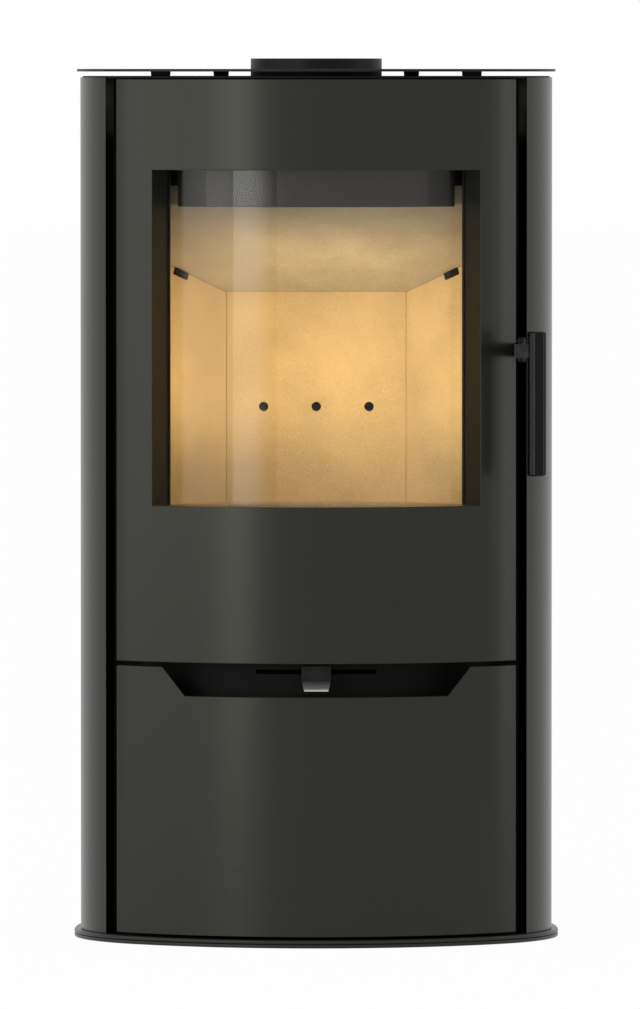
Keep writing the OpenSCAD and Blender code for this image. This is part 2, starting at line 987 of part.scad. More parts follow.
// Everything above the underside of the sloping baffle
module above_baffle() {
    translate([0, y_chamber, z_baffle])
        rotate([-baffle_slope, 0, 0])
            translate([-far, -far, 0])
                cube([2 * far, 2 * far, far]);
}

// Lining board with the given plan, standing on the floor plate under the baffle
module liner() {
    difference() {
        slab(z_bricks, 2 * baffle_lift + brick_t)
            children();
        above_baffle();
    }
}

module liner_back() {
    x = back_w / 2;
    color("#c7a878")
        difference() {
            liner()
                polygon([[-x, y_chamber], [x, y_chamber], [x + mitre, y_liner], [-x - mitre, y_liner]]);
            air_holes();
        }
}

module liner_corners() {
    x = back_w / 2;
    color("#d2b384")
        for (side = [0, 1])
            mirror([side, 0, 0])
                liner()
                    polygon([
                        [x, y_chamber], [chamber_x, y_chamber - corner_run],
                        [liner_x, y_chamber - corner_run + mitre], [x + mitre, y_liner]
                    ]);
}

module liner_sides() {
    color("#d8bd92")
        for (side = [0, 1])
            mirror([side, 0, 0])
                liner()
                    intersection() {
                        polygon([
                            [chamber_x, y_chamber - corner_run], [chamber_x, -far], [liner_x, -far],
                            [liner_x, y_chamber - corner_run + mitre]
                        ]);
                        bow_disc(r_chamber - 1);
                    }
}

// Sloping board that rests on the tops of the lining
module baffle_lower() {
    front = baffle_reach / cos(baffle_slope);
    rear = (liner_t - baffle_t * sin(baffle_slope) - 0.5) / cos(baffle_slope);
    color("#c4a77a")
        translate([-liner_x + 0.5, y_chamber, z_baffle])
            rotate([-baffle_slope, 0, 0])
                translate([0, -front, 0])
                    cube([2 * liner_x - 1, front + rear, baffle_t]);
}

// Small steel clips on the corner boards, under the baffle
module baffle_clips() {
    along = 52;
    clip_w = 21.5;
    clip_t = 3;
    clip_h = 8;
    drop = 0.1;
    lean = atan(tan(baffle_slope) / sqrt(2));
    color("#5b564d")
        for (side = [0, 1])
            mirror([side, 0, 0])
                translate([
                    back_w / 2 + along, y_chamber - along, z_baffle + along * tan(baffle_slope)
                ])
                    rotate([0, 0, -45])
                        rotate([0, -lean, 0])
                            translate([-clip_w / 2, -clip_t, -clip_h - drop])
                                cube([clip_w, clip_t, clip_h]);
}

module baffle_upper() {
    rear_gap = 53;
    color("#3a3a38")
        slab(z_hearth + upper_lift, upper_t)
            intersection() {
                bow_disc(r_chamber - wash_in - wash_gap - wash_t - 1);
                strip(liner_x - 0.5);
                translate([-far, -far])
                    square([2 * far, far + y_liner - rear_gap]);
            }
}

module baffle_rails() {
    front_gap = 18.4;
    rear_gap = 55;
    y0 = bow_y - sqrt(r_chamber * r_chamber - liner_x * liner_x) + front_gap;
    color("#3a3a38")
        for (side = [0, 1])
            mirror([side, 0, 0])
                translate([liner_x - rail_w, y0, z_hearth + upper_lift - upper_t])
                    cube([rail_w, y_liner - rear_gap - y0, upper_t]);
}

// Bowed plate seen at the top of the window
module air_wash_plate() {
    color("#6f6d68")
        slab(z_lintel - wash_drop, wash_drop + wash_rise)
            bow_band(r_chamber - wash_in, r_chamber - wash_in + wash_t, asin(wash_w / 2 / r_chamber));
}

// Rear and top of the air channel behind that plate
module air_wash_channel() {
    r = r_chamber - wash_in - wash_gap;
    color("#3f3a33") {
        slab(z_lintel - wash_drop, wash_drop + wash_rise + wash_t)
            bow_band(r, r + wash_t, wash_phi);
        slab(z_lintel + wash_rise, wash_t)
            bow_band(r, r_chamber, wash_phi);
    }
}

// ---- Door ----

// Window's opening through every layer of the door
module window_cut(grow = 0) {
    slab(z_sill - grow, window_h + 2 * grow)
        bow_sector(window_phi + arc_angle(grow, r_glass));
}

// Outer sheet with flanges at top and bottom and splayed reveals at the window
module door_skin() {
    reveal_t = 2;
    color("#464542")
        difference() {
            union() {
                bowed_sheet(z_door, door_h, 0, -skin_t, door_x);
                for (z = [z_door, z_door_top - skin_t])
                    slab(z, skin_t)
                        intersection() {
                            difference() {
                                plan(-skin_t);
                                bow_disc(r_frame);
                            }
                            strip(r_frame * sin(frame_phi));
                            translate([-far, -far])
                                square([2 * far, far + y_wide]);
                        }
                slab(z_sill - reveal_t, window_h + 2 * reveal_t)
                    bow_band(r_frame, r_skin, window_phi + arc_angle(reveal_t, r_frame));
            }
            window_cut();
        }
}

// Bowed inner frame that carries the glass and the seals
module door_frame() {
    color("#30302e")
        difference() {
            slab(z_door, door_h)
                bow_band(r_frame_in, r_frame, frame_phi);
            window_cut();
        }
}

// Arm from the inner frame out to a pin, as seen from above
module lug_plan(at, nose_r, hole_r) {
    side = sign(at.x);
    root = bow_at(side * (frame_phi - 5), r_frame);
    tip = bow_at(side * (frame_phi - 0.5), r_frame);
    difference() {
        union() {
            translate(at)
                circle(nose_r, $fn = pin_fn);
            polygon([root, root + [side * 3, -7], at + [0, -0.8 * nose_r], at + [0, 0.9 * nose_r], tip]);
        }
        bow_disc(r_frame);
        intersection() {
            difference() {
                plan(skin_t);
                plan(-skin_t - slide_gap);
            }
            strip(door_x);
        }
        translate(at)
            circle(hole_r, $fn = pin_fn);
    }
}

// Hinge lugs at the left edge and the handle's two lugs at the right
module door_lugs() {
    color("#2a2a29") {
        for (z = hinge_z)
            slab(z, lug_t)
                lug_plan(hinge_at, lug_r, hinge_pin_r + pin_play);
        for (z = [z_arm - slide_gap - latch_lug_t, z_arm + arm_h + slide_gap])
            slab(z, latch_lug_t)
                lug_plan(latch_at, latch_lug_r, latch_pin_r);
    }
}

module glass_pane() {
    color("#8d6a3c", 0.35)
        slab(z_sill - glass_lap, window_h + 2 * glass_lap)
            bow_band(r_glass_in, r_glass, glass_phi);
}

module glass_seal() {
    color("#6a6862")
        difference() {
            slab(z_sill - glass_lap, window_h + 2 * glass_lap)
                bow_band(r_glass, r_frame_in, glass_phi);
            window_cut(2);
        }
}

// Stepped clips that hold the glass at its upright edges, each with its screw
module glass_clips() {
    clip_h = 30;
    clip_t = 2;
    foot = arc_angle(1, r_glass);
    edge = rope_phi - arc_angle(rope_d / 2 + 1.5, r_glass);
    hold = glass_phi - arc_angle(7, r_glass);
    middle = (glass_phi + edge) / 2;
    color("#8b8985")
        for (side = [0, 1])
            mirror([side, 0, 0])
                for (part = [0.12, 0.5, 0.88]) {
                    z = z_sill + part * window_h - clip_h / 2;
                    slab(z, clip_h)
                        difference() {
                            bow_band(r_glass_in - clip_t, r_glass_in, edge);
                            bow_sector(hold);
                            strip_left();
                        }
                    slab(z, clip_h)
                        difference() {
                            bow_band(r_glass_in, r_frame_in, edge);
                            bow_sector(glass_phi + foot);
                            strip_left();
                        }
                    translate([0, bow_y, z + clip_h / 2])
                        rotate([0, 0, middle])
                            translate([0, -r_glass_in + clip_t, 0])
                                rotate([-90, 0, 0])
                                    cylinder(h = 1.5, r = 3, $fn = 24);
                }
}

module strip_left() {
    translate([-far, -far])
        square([far, 2 * far]);
}

// Round rope seal in a frame around the window and the ash opening
module door_rope() {
    z0 = z_front() + rope_d;
    z1 = z_lintel + rope_out;
    flatter = 0.2;
    color("#7d7a72") {
        for (side = [-1, 1])
            round_bar(bow_at(side * rope_phi, rope_r), z0 - rope_d / 2, z1 - z0 + rope_d, rope_d / 2);
        for (z = [z0, z1])
            translate([0, bow_y, z])
                rotate([0, 0, -90 - rope_phi])
                    rotate_extrude(angle = 2 * rope_phi, $fn = arc_fn)
                        translate([rope_r, 0])
                            circle(rope_d / 2 - flatter, $fn = pin_fn);
    }
}

module hinge_brackets() {
    foot_h = 40;
    foot_t = 3;
    foot_x = firebox_x + 4;
    color("#2a2a29")
        for (z = hinge_z) {
            slab(z - slide_gap - bracket_t, bracket_t)
                difference() {
                    union() {
                        translate(hinge_at)
                            circle(bracket_r, $fn = pin_fn);
                        polygon([
                            hinge_at + [-4, 4], hinge_at + [bracket_r - 0.5, 0],
                            [-foot_x, post_y], [hinge_at.x, post_y]
                        ]);
                    }
                    translate(hinge_at)
                        circle(hinge_pin_r, $fn = pin_fn);
                }
            translate([-firebox_x - post_w + 2, post_y - foot_t, z - slide_gap - bracket_t - foot_h])
                cube([post_w - 6, foot_t, foot_h]);
        }
}

// Headed pins, fixed in the brackets and running in the door's lugs
module hinge_pins() {
    color("#a7a7a4")
        for (z = hinge_z) {
            round_bar(hinge_at, z - slide_gap - bracket_t, bracket_t + slide_gap + lug_t + 2, hinge_pin_r);
            round_bar(hinge_at, z - slide_gap - bracket_t - pin_head_t, pin_head_t, hinge_pin_r + 2);
        }
}

// ---- Handle and latch ----

module latch_pin() {
    z0 = z_arm - slide_gap - latch_lug_t;
    h = arm_h + 2 * (slide_gap + latch_lug_t);
    color("#a7a7a4") {
        round_bar(latch_at, z0, h, latch_pin_r);
        round_bar(latch_at, z0 - pin_head_t, pin_head_t, latch_pin_r + 2);
        round_bar(latch_at, z0 + h, pin_head_t, latch_pin_r + 2);
    }
}

// Bar that passes beside the door: block at the grip, boss on the pin, rounded latch tail
module handle_arm() {
    color("#4a4a47")
        slab(z_arm, arm_h)
            difference() {
                union() {
                    translate([latch_at.x - arm_t / 2, grip_at.y])
                        square([arm_t, latch_at.y - grip_at.y]);
                    translate(latch_at)
                        circle(arm_r, $fn = pin_fn);
                    polygon([
                        latch_at + [-arm_t / 2, 0], latch_at + [arm_t / 2, 0],
                        tail_at + [arm_t / 2, 0], tail_at + [-arm_t / 2, 0]
                    ]);
                    translate(tail_at)
                        circle(tail_r, $fn = pin_fn);
                    difference() {
                        translate([grip_at.x - grip_d / 2 - arm_block + 1.5, grip_at.y - arm_block_d / 2])
                            square([arm_block, arm_block_d]);
                        translate(grip_at)
                            circle(grip_d / 2, $fn = pin_fn);
                    }
                }
                translate(latch_at)
                    circle(latch_pin_r + pin_play, $fn = pin_fn);
            }
}

// Round bar grip with eased ends
module handle_grip() {
    ease = 1.5;
    r = grip_d / 2;
    color("#2b2b2a")
        translate([grip_at.x, grip_at.y, z_arm + arm_h + grip_over - grip_len])
            rotate_extrude($fn = 96)
                polygon([
                    [0, 0], [r - ease, 0], [r, ease], [r, grip_len - ease],
                    [r - ease, grip_len], [0, grip_len]
                ]);
}

// Forked bracket on the right-hand post that carries the catch roller
module latch_keeper() {
    ear_t = 3;
    ear_r = roller_r - 1;
    z0 = z_arm - roller_over - slide_gap - ear_t;
    z1 = z_arm + arm_h + roller_over + slide_gap;
    color("#2a2a29") {
        for (z = [z0, z1])
            slab(z, ear_t) {
                translate(roller_at)
                    circle(ear_r, $fn = pin_fn);
                translate([roller_at.x - ear_r, roller_at.y])
                    square([2 * ear_r, post_y - roller_at.y]);
            }
        round_bar(roller_at, z0, z1 - z0 + ear_t, roller_pin_r);
    }
}

module keeper_roller() {
    color("#b9b9b6")
        slab(z_arm - roller_over, arm_h + 2 * roller_over)
            translate(roller_at)
                difference() {
                    circle(roller_r, $fn = pin_fn);
                    circle(roller_pin_r + pin_play, $fn = pin_fn);
                }
}

// ---- Drawer ----

// Outer sheet with the finger recess, its rolled lower edge and a flange under the box
module drawer_front() {
    low = notch_low_w / 2;
    top = notch_top_w / 2;
    color("#3e3d3a") {
        difference() {
            bowed_sheet(z_drawer, drawer_h, 0, -skin_t, door_x);
            translate([0, y_wide, 0])
                rotate([90, 0, 0])
                    linear_extrude(bow_d + 10)
                        polygon([
                            [-low, z_notch], [low, z_notch], [top, z_drawer_top + 1],
                            [-top, z_drawer_top + 1]
                        ]);
        }
        slab(z_notch - notch_roll_t, notch_roll_t)
            intersection() {
                bow_band(r_skin - notch_roll, r_skin, 60);
                strip(low);
            }
        bowed_sheet(z_drawer, skin_t, -skin_t, -skin_t - notch_roll, door_x - 20);
    }
}

// Plan of the drawer box, drawn in by d on every side
module tray_plan(d) {
    intersection() {
        plan(-skin_t - d);
        strip(tray_x - d);
        translate([-far, -far])
            square([2 * far, far + y_tray - d]);
    }
}

module drawer_box() {
    color("#33332f")
        difference() {
            slab(z_tray, tray_h)
                tray_plan(0);
            slab(z_tray + sheet_t, tray_h)
                tray_plan(sheet_t);
        }
}

// Screws through the front of the box into the outer sheet, heads inside the box
module drawer_screws() {
    edge = 30;
    side_edge = 44;
    outer_phi = asin((tray_x - side_edge) / r_skin);
    seat = sqrt(pow(r_skin - sheet_t, 2) - pow(screw_head / 2, 2));
    color("#8b8b88")
        for (share = [-1, -1 / 3, 1 / 3, 1])
            for (z = [z_tray + edge, z_tray + tray_h - edge])
                translate([0, bow_y, z])
                    rotate([0, 0, share * outer_phi])
                        translate([0, -seat, 0])
                            rotate([-90, 0, 0])
                                button_head(screw_head, screw_rise);
}

// Channel section standing on edge: web at x0, flanges towards x1
module runner(x0, x1, h) {
    inner = sign(x1 - x0);
    for (side = [0, 1])
        mirror([side, 0, 0])
            translate([0, runner_y + runner_len, z_runner])
                rotate([90, 0, 0])
                    linear_extrude(runner_len)
                        polygon([
                            [x0, -h / 2], [x1, -h / 2], [x1, -h / 2 + runner_t],
                            [x0 + inner * runner_t, -h / 2 + runner_t],
                            [x0 + inner * runner_t, h / 2 - runner_t], [x1, h / 2 - runner_t],
                            [x1, h / 2], [x0, h / 2]
                        ]);
}

function runner_step(i) = runner_h - 2 * i * (runner_t + slide_gap);

module runner_outer() {
    color("#b4b4b1")
        runner(bay_x, tray_x + runner_t + slide_gap, runner_step(0));
}

module runner_middle() {
    color("#a8a8a5")
        runner(bay_x - runner_t - slide_gap, tray_x + runner_t + 2 * slide_gap, runner_step(1));
}

module runner_inner() {
    color("#b4b4b1")
        runner(tray_x, bay_x - 2 * (runner_t + slide_gap), runner_step(2));
}

base_plate();
plinth_plate();
side_panel_left();
side_panel_right();
rear_panel();
rear_screws();
front_post_left();
front_post_right();
bay_sides();
apron();
drawer_shield();
casing_top();
top_spacers();
top_plate();
flue_collar();
firebox_shell();
firebox_front();
outlet_blank();
outlet_cover();
rear_shield();
air_duct();
air_box();
air_spigot();
damper_rails();
damper_plate();
air_lever();
lever_tip();
floor_plate();
floor_bricks();
grate();
ash_pan();
liner_back();
liner_corners();
liner_sides();
baffle_lower();
baffle_clips();
baffle_upper();
baffle_rails();
air_wash_plate();
air_wash_channel();
hinge_brackets();
hinge_pins();
latch_keeper();
keeper_roller();
door_skin();
door_frame();
door_lugs();
glass_pane();
glass_seal();
glass_clips();
door_rope();
latch_pin();
handle_arm();
handle_grip();
drawer_front();
drawer_box();
drawer_screws();
runner_outer();
runner_middle();
runner_inner();
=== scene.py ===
"""Looks of a tall oval wood stove with a bowed glass door above a bowed drawer.

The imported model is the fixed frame. Every node of it gets a procedural finish. The classes below
also add what only the eye needs: eased edges on the sheets and boards, braided rope in the door and
socket screws.
"""
import json
import logging
import math
from dataclasses import dataclass, field
from enum import Enum
from typing import Optional, Sequence, Union

import bmesh
import bpy
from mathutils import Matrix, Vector

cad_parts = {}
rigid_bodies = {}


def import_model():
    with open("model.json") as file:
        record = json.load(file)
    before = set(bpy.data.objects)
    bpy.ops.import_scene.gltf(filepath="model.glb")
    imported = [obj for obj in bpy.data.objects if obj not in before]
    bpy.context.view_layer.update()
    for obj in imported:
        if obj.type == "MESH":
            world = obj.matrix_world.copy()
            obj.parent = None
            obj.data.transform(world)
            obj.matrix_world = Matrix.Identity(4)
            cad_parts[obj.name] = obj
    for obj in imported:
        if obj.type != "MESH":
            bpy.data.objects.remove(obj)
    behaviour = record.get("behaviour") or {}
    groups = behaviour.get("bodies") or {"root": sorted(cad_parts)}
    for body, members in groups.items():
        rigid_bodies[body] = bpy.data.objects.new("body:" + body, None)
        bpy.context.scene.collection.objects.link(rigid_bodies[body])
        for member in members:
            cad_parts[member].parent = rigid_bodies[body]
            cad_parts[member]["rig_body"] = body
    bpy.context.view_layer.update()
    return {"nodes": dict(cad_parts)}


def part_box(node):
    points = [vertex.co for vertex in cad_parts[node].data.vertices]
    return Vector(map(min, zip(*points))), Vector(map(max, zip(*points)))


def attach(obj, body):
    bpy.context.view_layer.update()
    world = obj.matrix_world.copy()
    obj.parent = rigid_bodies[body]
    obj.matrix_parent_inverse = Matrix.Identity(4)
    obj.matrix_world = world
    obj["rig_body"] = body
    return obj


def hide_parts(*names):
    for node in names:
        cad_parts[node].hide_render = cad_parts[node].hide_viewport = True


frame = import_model()

logging.basicConfig(level=logging.INFO, format="%(name)s: %(message)s")
log = logging.getLogger("stove")

MM = 0.001
WHITE = (1.0, 1.0, 1.0, 1.0)
Colour = tuple[float, float, float]
Point = tuple[float, float, float]
Socket = bpy.types.NodeSocket
Value = Union[float, int, bool, Colour, Socket]

# Where the axis of the bow stands, which every bowed layer shares
BOW_Y = 0.11412


# ---------------------------------------------------------------- node trees


class Tree:
    """A small helper that adds nodes to a node tree and wires them."""

    def __init__(self, tree: bpy.types.NodeTree) -> None:
        """Keeps the tree to add to."""
        self.tree = tree

    def add(self, kind: str, inputs: Optional[dict] = None, **values: object) -> bpy.types.Node:
        """Adds a node.

        Args:
            kind: The node's Blender type name.
            inputs: Values or sources of its input sockets, by name or index.
            values: Attributes of the node.

        Returns:
            The new node.
        """
        node = self.tree.nodes.new(kind)
        for name, value in values.items():
            setattr(node, name, value)
        for name, value in (inputs or {}).items():
            self.feed(node.inputs[name], value)
        return node

    def feed(self, socket: Socket, value: Value) -> None:
        """Links a source socket to the socket, or sets its value."""
        if isinstance(value, bpy.types.NodeSocket):
            self.tree.links.new(value, socket)
        else:
            socket.default_value = value

    def math(self, operation: str, *values: Value) -> Socket:
        """Adds a Math node with its inputs in order, and returns its result."""
        node = self.add("ShaderNodeMath", operation=operation)
        for socket, value in zip(node.inputs, values):
            self.feed(socket, value)
        return node.outputs[0]

    def vector(self, operation: str, *values: Value) -> bpy.types.Node:
        """Adds a Vector Math node with its inputs in order."""
        node = self.add("ShaderNodeVectorMath", operation=operation)
        for socket, value in zip(node.inputs, values):
            self.feed(socket, value)
        return node

    def ramp(self, value: Value, low: float, high: float, to_low: float = 0.0,
             to_high: float = 1.0) -> Socket:
        """Maps a value's range softly to another, clamped, and returns the result."""
        node = self.add("ShaderNodeMapRange", interpolation_type="SMOOTHSTEP", inputs={
            "Value": value, "From Min": low, "From Max": high, "To Min": to_low, "To Max": to_high})
        return node.outputs["Result"]

    def mix(self, factor: Value, first: Value, second: Value, blend: str = "MIX") -> Socket:
        """Mixes two colours and returns the result."""
        node = self.add("ShaderNodeMix", data_type="RGBA", blend_type=blend,
                        inputs={0: factor, 6: first, 7: second})
        return node.outputs[2]

    def noise(self, place: Value, size: Value, detail: float = 2.0, rough: float = 0.5) -> Socket:
        """Adds a noise whose features are about the given size, and returns its value."""
        scale = self.math("DIVIDE", 1.0, size)
        node = self.add("ShaderNodeTexNoise", {"Vector": place, "Scale": scale, "Detail": detail,
                                               "Roughness": rough})
        return node.outputs["Fac"]


def rgba(colour: Colour, share: float = 1.0) -> tuple[float, float, float, float]:
    """Scales a colour and adds a full alpha."""
    return (*(share * part for part in colour), 1.0)


class Effect(Enum):
    """Shader node groups that more than one finish uses."""

    GRAIN = "Grain"
    WEAR = "Edge wear"
    SOOT = "Soot"


class Effects:
    """Builds each shader node group once."""

    _made: dict[Effect, bpy.types.NodeTree] = {}

    @classmethod
    def place(cls, tree: Tree, effect: Effect, **values: float) -> bpy.types.Node:
        """Places an effect in a material.

        Args:
            tree: The material's tree.
            effect: Which effect.
            values: Its inputs, by name with _ for a space.

        Returns:
            The group node.
        """
        if effect not in cls._made:
            cls._made[effect] = getattr(cls, "_" + effect.name.lower())(effect.value)
        node = tree.add("ShaderNodeGroup", node_tree=cls._made[effect])
        for label, value in values.items():
            node.inputs[label.replace("_", " ")].default_value = value
        return node

    @staticmethod
    def _start(name: str, inputs: Sequence[str],
               outputs: Sequence[str]) -> tuple[Tree, bpy.types.Node, bpy.types.Node]:
        """Makes a group with float inputs and outputs.

        Args:
            name: The group's name.
            inputs: Names of its inputs.
            outputs: Names of its outputs.

        Returns:
            The tree helper, the group's input node and its output node.
        """
        group = bpy.data.node_groups.new(name, "ShaderNodeTree")
        for label in inputs:
            group.interface.new_socket(label, in_out="INPUT", socket_type="NodeSocketFloat")
        for label in outputs:
            group.interface.new_socket(label, in_out="OUTPUT", socket_type="NodeSocketFloat")
        tree = Tree(group)
        return tree, tree.add("NodeGroupInput"), tree.add("NodeGroupOutput")

    @classmethod
    def _grain(cls, name: str) -> bpy.types.NodeTree:
        """Fine sprayed, cast or brushed grain, and a slow drift for tone and gloss."""
        tree, given, out = cls._start(
            name, ("Grain size", "Drift size", "Squeeze X", "Squeeze Z"), ("Height", "Drift"))
        place = tree.add("ShaderNodeTexCoord").outputs["Object"]
        squeeze = tree.add("ShaderNodeCombineXYZ", {
            "X": given.outputs["Squeeze X"], "Y": 1.0, "Z": given.outputs["Squeeze Z"]})
        drawn = tree.vector("MULTIPLY", place, squeeze.outputs[0]).outputs[0]
        tree.feed(out.inputs["Height"], tree.noise(drawn, given.outputs["Grain size"], 3.0, 0.6))
        tree.feed(out.inputs["Drift"], tree.noise(place, given.outputs["Drift size"], 2.0))
        return tree.tree

    @classmethod
    def _wear(cls, name: str) -> bpy.types.NodeTree:
        """Rubbed paint along the edges, broken up by a noise."""
        tree, given, out = cls._start(name, ("Amount", "Break size"), ("Mask",))
        edge = tree.ramp(tree.add("ShaderNodeNewGeometry").outputs["Pointiness"], 0.53, 0.62)
        place = tree.add("ShaderNodeTexCoord").outputs["Object"]
        broken = tree.ramp(tree.noise(place, given.outputs["Break size"], 4.0, 0.6), 0.42, 0.62)
        rubbed = tree.math("MULTIPLY", edge, broken)
        tree.feed(out.inputs["Mask"], tree.math("MULTIPLY", rubbed, given.outputs["Amount"]))
        return tree.tree

    @classmethod
    def _soot(cls, name: str) -> bpy.types.NodeTree:
        """Soot that thickens with the height above the hearth and lies in clouds."""
        tree, given, out = cls._start(name, ("Clean height", "Dark height", "Cloud size"), ("Mask",))
        place = tree.add("ShaderNodeTexCoord").outputs["Object"]
        height = tree.add("ShaderNodeSeparateXYZ", {0: place}).outputs["Z"]
        rise = tree.math("DIVIDE", tree.math("SUBTRACT", height, given.outputs["Clean height"]),
                         tree.math("SUBTRACT", given.outputs["Dark height"],
                                   given.outputs["Clean height"]))
        cloud = tree.noise(place, given.outputs["Cloud size"], 4.0, 0.55)
        tree.feed(out.inputs["Mask"], tree.ramp(tree.math("ADD", rise, cloud), 0.55, 1.55))
        return tree.tree


# ---------------------------------------------------------------- finishes


@dataclass(frozen=True)
class Finish:
    """What every finish has: a name and a way to build its material."""

    name: str

    def material(self) -> bpy.types.Material:
        """Builds the finish's material, or returns it where it exists."""
        known = bpy.data.materials.get(self.name)
        if known:
            return known
        made = bpy.data.materials.new(self.name)
        made.use_nodes = True
        made.node_tree.nodes.clear()
        tree = Tree(made.node_tree)
        tree.add("ShaderNodeOutputMaterial", {"Surface": self.shade(tree)})
        return made

    def shade(self, tree: Tree) -> Socket:
        """Builds the shader and returns its output."""
        raise NotImplementedError


@dataclass(frozen=True)
class Paint(Finish):
    """Heat-proof stove paint, sprayed on steel or on a casting."""

    colour: Colour
    roughness: float = 0.30
    specular: float = 0.3
    peel: float = 0.05
    grain_size: float = 1.1 * MM
    wear: float = 0.0
    sheen: Colour = (1.0, 1.0, 1.0)

    def shade(self, tree: Tree) -> Socket:
        """Paint with a fine grain, a slow drift of gloss and tone, and rubbed edges."""
        grain = Effects.place(tree, Effect.GRAIN, Grain_size=self.grain_size, Drift_size=0.22,
                              Squeeze_X=1.0, Squeeze_Z=1.0)
        drift = grain.outputs["Drift"]
        tone = tree.mix(drift, rgba(self.colour, 0.92), rgba(self.colour, 1.08))
        if self.wear:
            worn = Effects.place(tree, Effect.WEAR, Amount=self.wear, Break_size=9 * MM)
            tone = tree.mix(worn.outputs["Mask"], tone, rgba((0.16, 0.155, 0.15)))
        bump = tree.add("ShaderNodeBump", {
            "Strength": self.peel, "Distance": 0.05 * MM, "Height": grain.outputs["Height"]})
        rough = tree.ramp(drift, 0.0, 1.0, self.roughness - 0.02, self.roughness + 0.02)
        return tree.add("ShaderNodeBsdfPrincipled", {
            "Base Color": tone, "Roughness": rough, "Specular IOR Level": self.specular,
            "Specular Tint": rgba(self.sheen), "Normal": bump.outputs[0]}).outputs[0]


@dataclass(frozen=True)
class Steel(Finish):
    """Bare, plated or brushed steel."""

    colour: Colour
    roughness: float = 0.35
    squeeze_x: float = 1.0
    squeeze_z: float = 0.04
    grain_size: float = 0.5 * MM

    def shade(self, tree: Tree) -> Socket:
        """Metal with a fine grain drawn out along one axis."""
        grain = Effects.place(tree, Effect.GRAIN, Grain_size=self.grain_size, Drift_size=0.03,
                              Squeeze_X=self.squeeze_x, Squeeze_Z=self.squeeze_z)
        height = grain.outputs["Height"]
        rough = tree.ramp(height, 0.3, 0.7, self.roughness - 0.07, self.roughness + 0.07)
        tone = tree.mix(grain.outputs["Drift"], rgba(self.colour, 0.82), rgba(self.colour))
        bump = tree.add("ShaderNodeBump", {
            "Strength": 0.08, "Distance": 0.03 * MM, "Height": height})
        return tree.add("ShaderNodeBsdfPrincipled", {
            "Base Color": tone, "Roughness": rough, "Metallic": 1.0,
            "Normal": bump.outputs[0]}).outputs[0]


@dataclass(frozen=True)
class Board(Finish):
    """Pressed vermiculite board with mica flakes, sooted towards the top."""

    colour: Colour
    flake: Colour = (0.80, 0.62, 0.36)
    soot: Colour = (0.20, 0.14, 0.08)
    soot_share: float = 0.5
    flake_size: float = 2.6 * MM

    def shade(self, tree: Tree) -> Socket:
        """Matt board with flakes in its face, small hollows painted darker as painted shade, and a cloudy
        stain.
        """
        grain = Effects.place(tree, Effect.GRAIN, Grain_size=1.4 * MM, Drift_size=0.07,
                              Squeeze_X=1.0, Squeeze_Z=1.0)
        soot = Effects.place(tree, Effect.SOOT, Clean_height=0.52, Dark_height=0.92, Cloud_size=0.12)
        place = tree.add("ShaderNodeTexCoord").outputs["Object"]
        cells = tree.add("ShaderNodeTexVoronoi", {
            "Vector": place, "Scale": 1.0 / self.flake_size, "Randomness": 1.0})
        pick = tree.add("ShaderNodeSeparateColor", {0: cells.outputs["Color"]}).outputs[0]
        flakes = tree.math("MULTIPLY", tree.ramp(cells.outputs["Distance"], 0.25, 0.55, 1.0, 0.0),
                           tree.ramp(pick, 0.45, 0.9))
        pits_and_painted_shade = tree.math("MULTIPLY", tree.ramp(cells.outputs["Distance"], 0.1, 0.4, 1.0, 0.0),
                         tree.ramp(pick, 0.16, 0.04))
        tone = tree.mix(tree.ramp(grain.outputs["Drift"], 0.3, 0.7),
                        rgba(self.colour, 0.88), rgba(self.colour, 1.04))
        tone = tree.mix(tree.math("MULTIPLY", flakes, 0.4), tone, rgba(self.flake))
        # Painted shade: the small hollows are painted darker than the board; the same mask also dents the
        # bump below
        tone = tree.mix(tree.math("MULTIPLY", pits_and_painted_shade, 0.5), tone, rgba(self.colour, 0.35))
        tone = tree.mix(tree.math("MULTIPLY", soot.outputs["Mask"], self.soot_share), tone,
                        rgba(self.soot))
        height = tree.math("SUBTRACT", tree.math("ADD", grain.outputs["Height"], flakes),
                           tree.math("MULTIPLY", pits_and_painted_shade, 2.0))
        bump = tree.add("ShaderNodeBump", {
            "Strength": 0.3, "Distance": 0.25 * MM, "Height": height})
        return tree.add("ShaderNodeBsdfPrincipled", {
            "Base Color": tone, "Roughness": 0.85, "Specular IOR Level": 0.25,
            "Normal": bump.outputs[0]}).outputs[0]


@dataclass(frozen=True)
class Fibre(Finish):
    """Glass-fibre rope or tape."""

    colour: Colour
    thread: float = 0.35 * MM

    def shade(self, tree: Tree) -> Socket:
        """Soft matt fibre with fine threads."""
        grain = Effects.place(tree, Effect.GRAIN, Grain_size=self.thread, Drift_size=0.05,
                              Squeeze_X=1.0, Squeeze_Z=0.25)
        threads = tree.ramp(grain.outputs["Height"], 0.35, 0.65)
        tone = tree.mix(threads, rgba(self.colour, 0.65), rgba(self.colour))
        tone = tree.mix(tree.ramp(grain.outputs["Drift"], 0.5, 0.75), tone, rgba(self.colour, 0.55))
        bump = tree.add("ShaderNodeBump", {
            "Strength": 0.5, "Distance": 0.2 * MM, "Height": threads})
        return tree.add("ShaderNodeBsdfPrincipled", {
            "Base Color": tone, "Roughness": 0.95, "Sheen Weight": 0.3,
            "Normal": bump.outputs[0]}).outputs[0]


@dataclass(frozen=True)
class Glass(Finish):
    """Clear ceramic stove glass, which lets light into the chamber."""

    tint: Colour = (0.98, 0.965, 0.93)

    def shade(self, tree: Tree) -> Socket:
        """Glass that casts no solid shadow."""
        glass = tree.add("ShaderNodeBsdfPrincipled", {
            "Base Color": rgba(self.tint), "Roughness": 0.0, "IOR": 1.22,
            "Transmission Weight": 1.0})
        clear = tree.add("ShaderNodeBsdfTransparent", {"Color": rgba(self.tint)})
        path = tree.add("ShaderNodeLightPath")
        return tree.add("ShaderNodeMixShader", {
            0: path.outputs["Is Shadow Ray"], 1: glass.outputs[0], 2: clear.outputs[0]}).outputs[0]


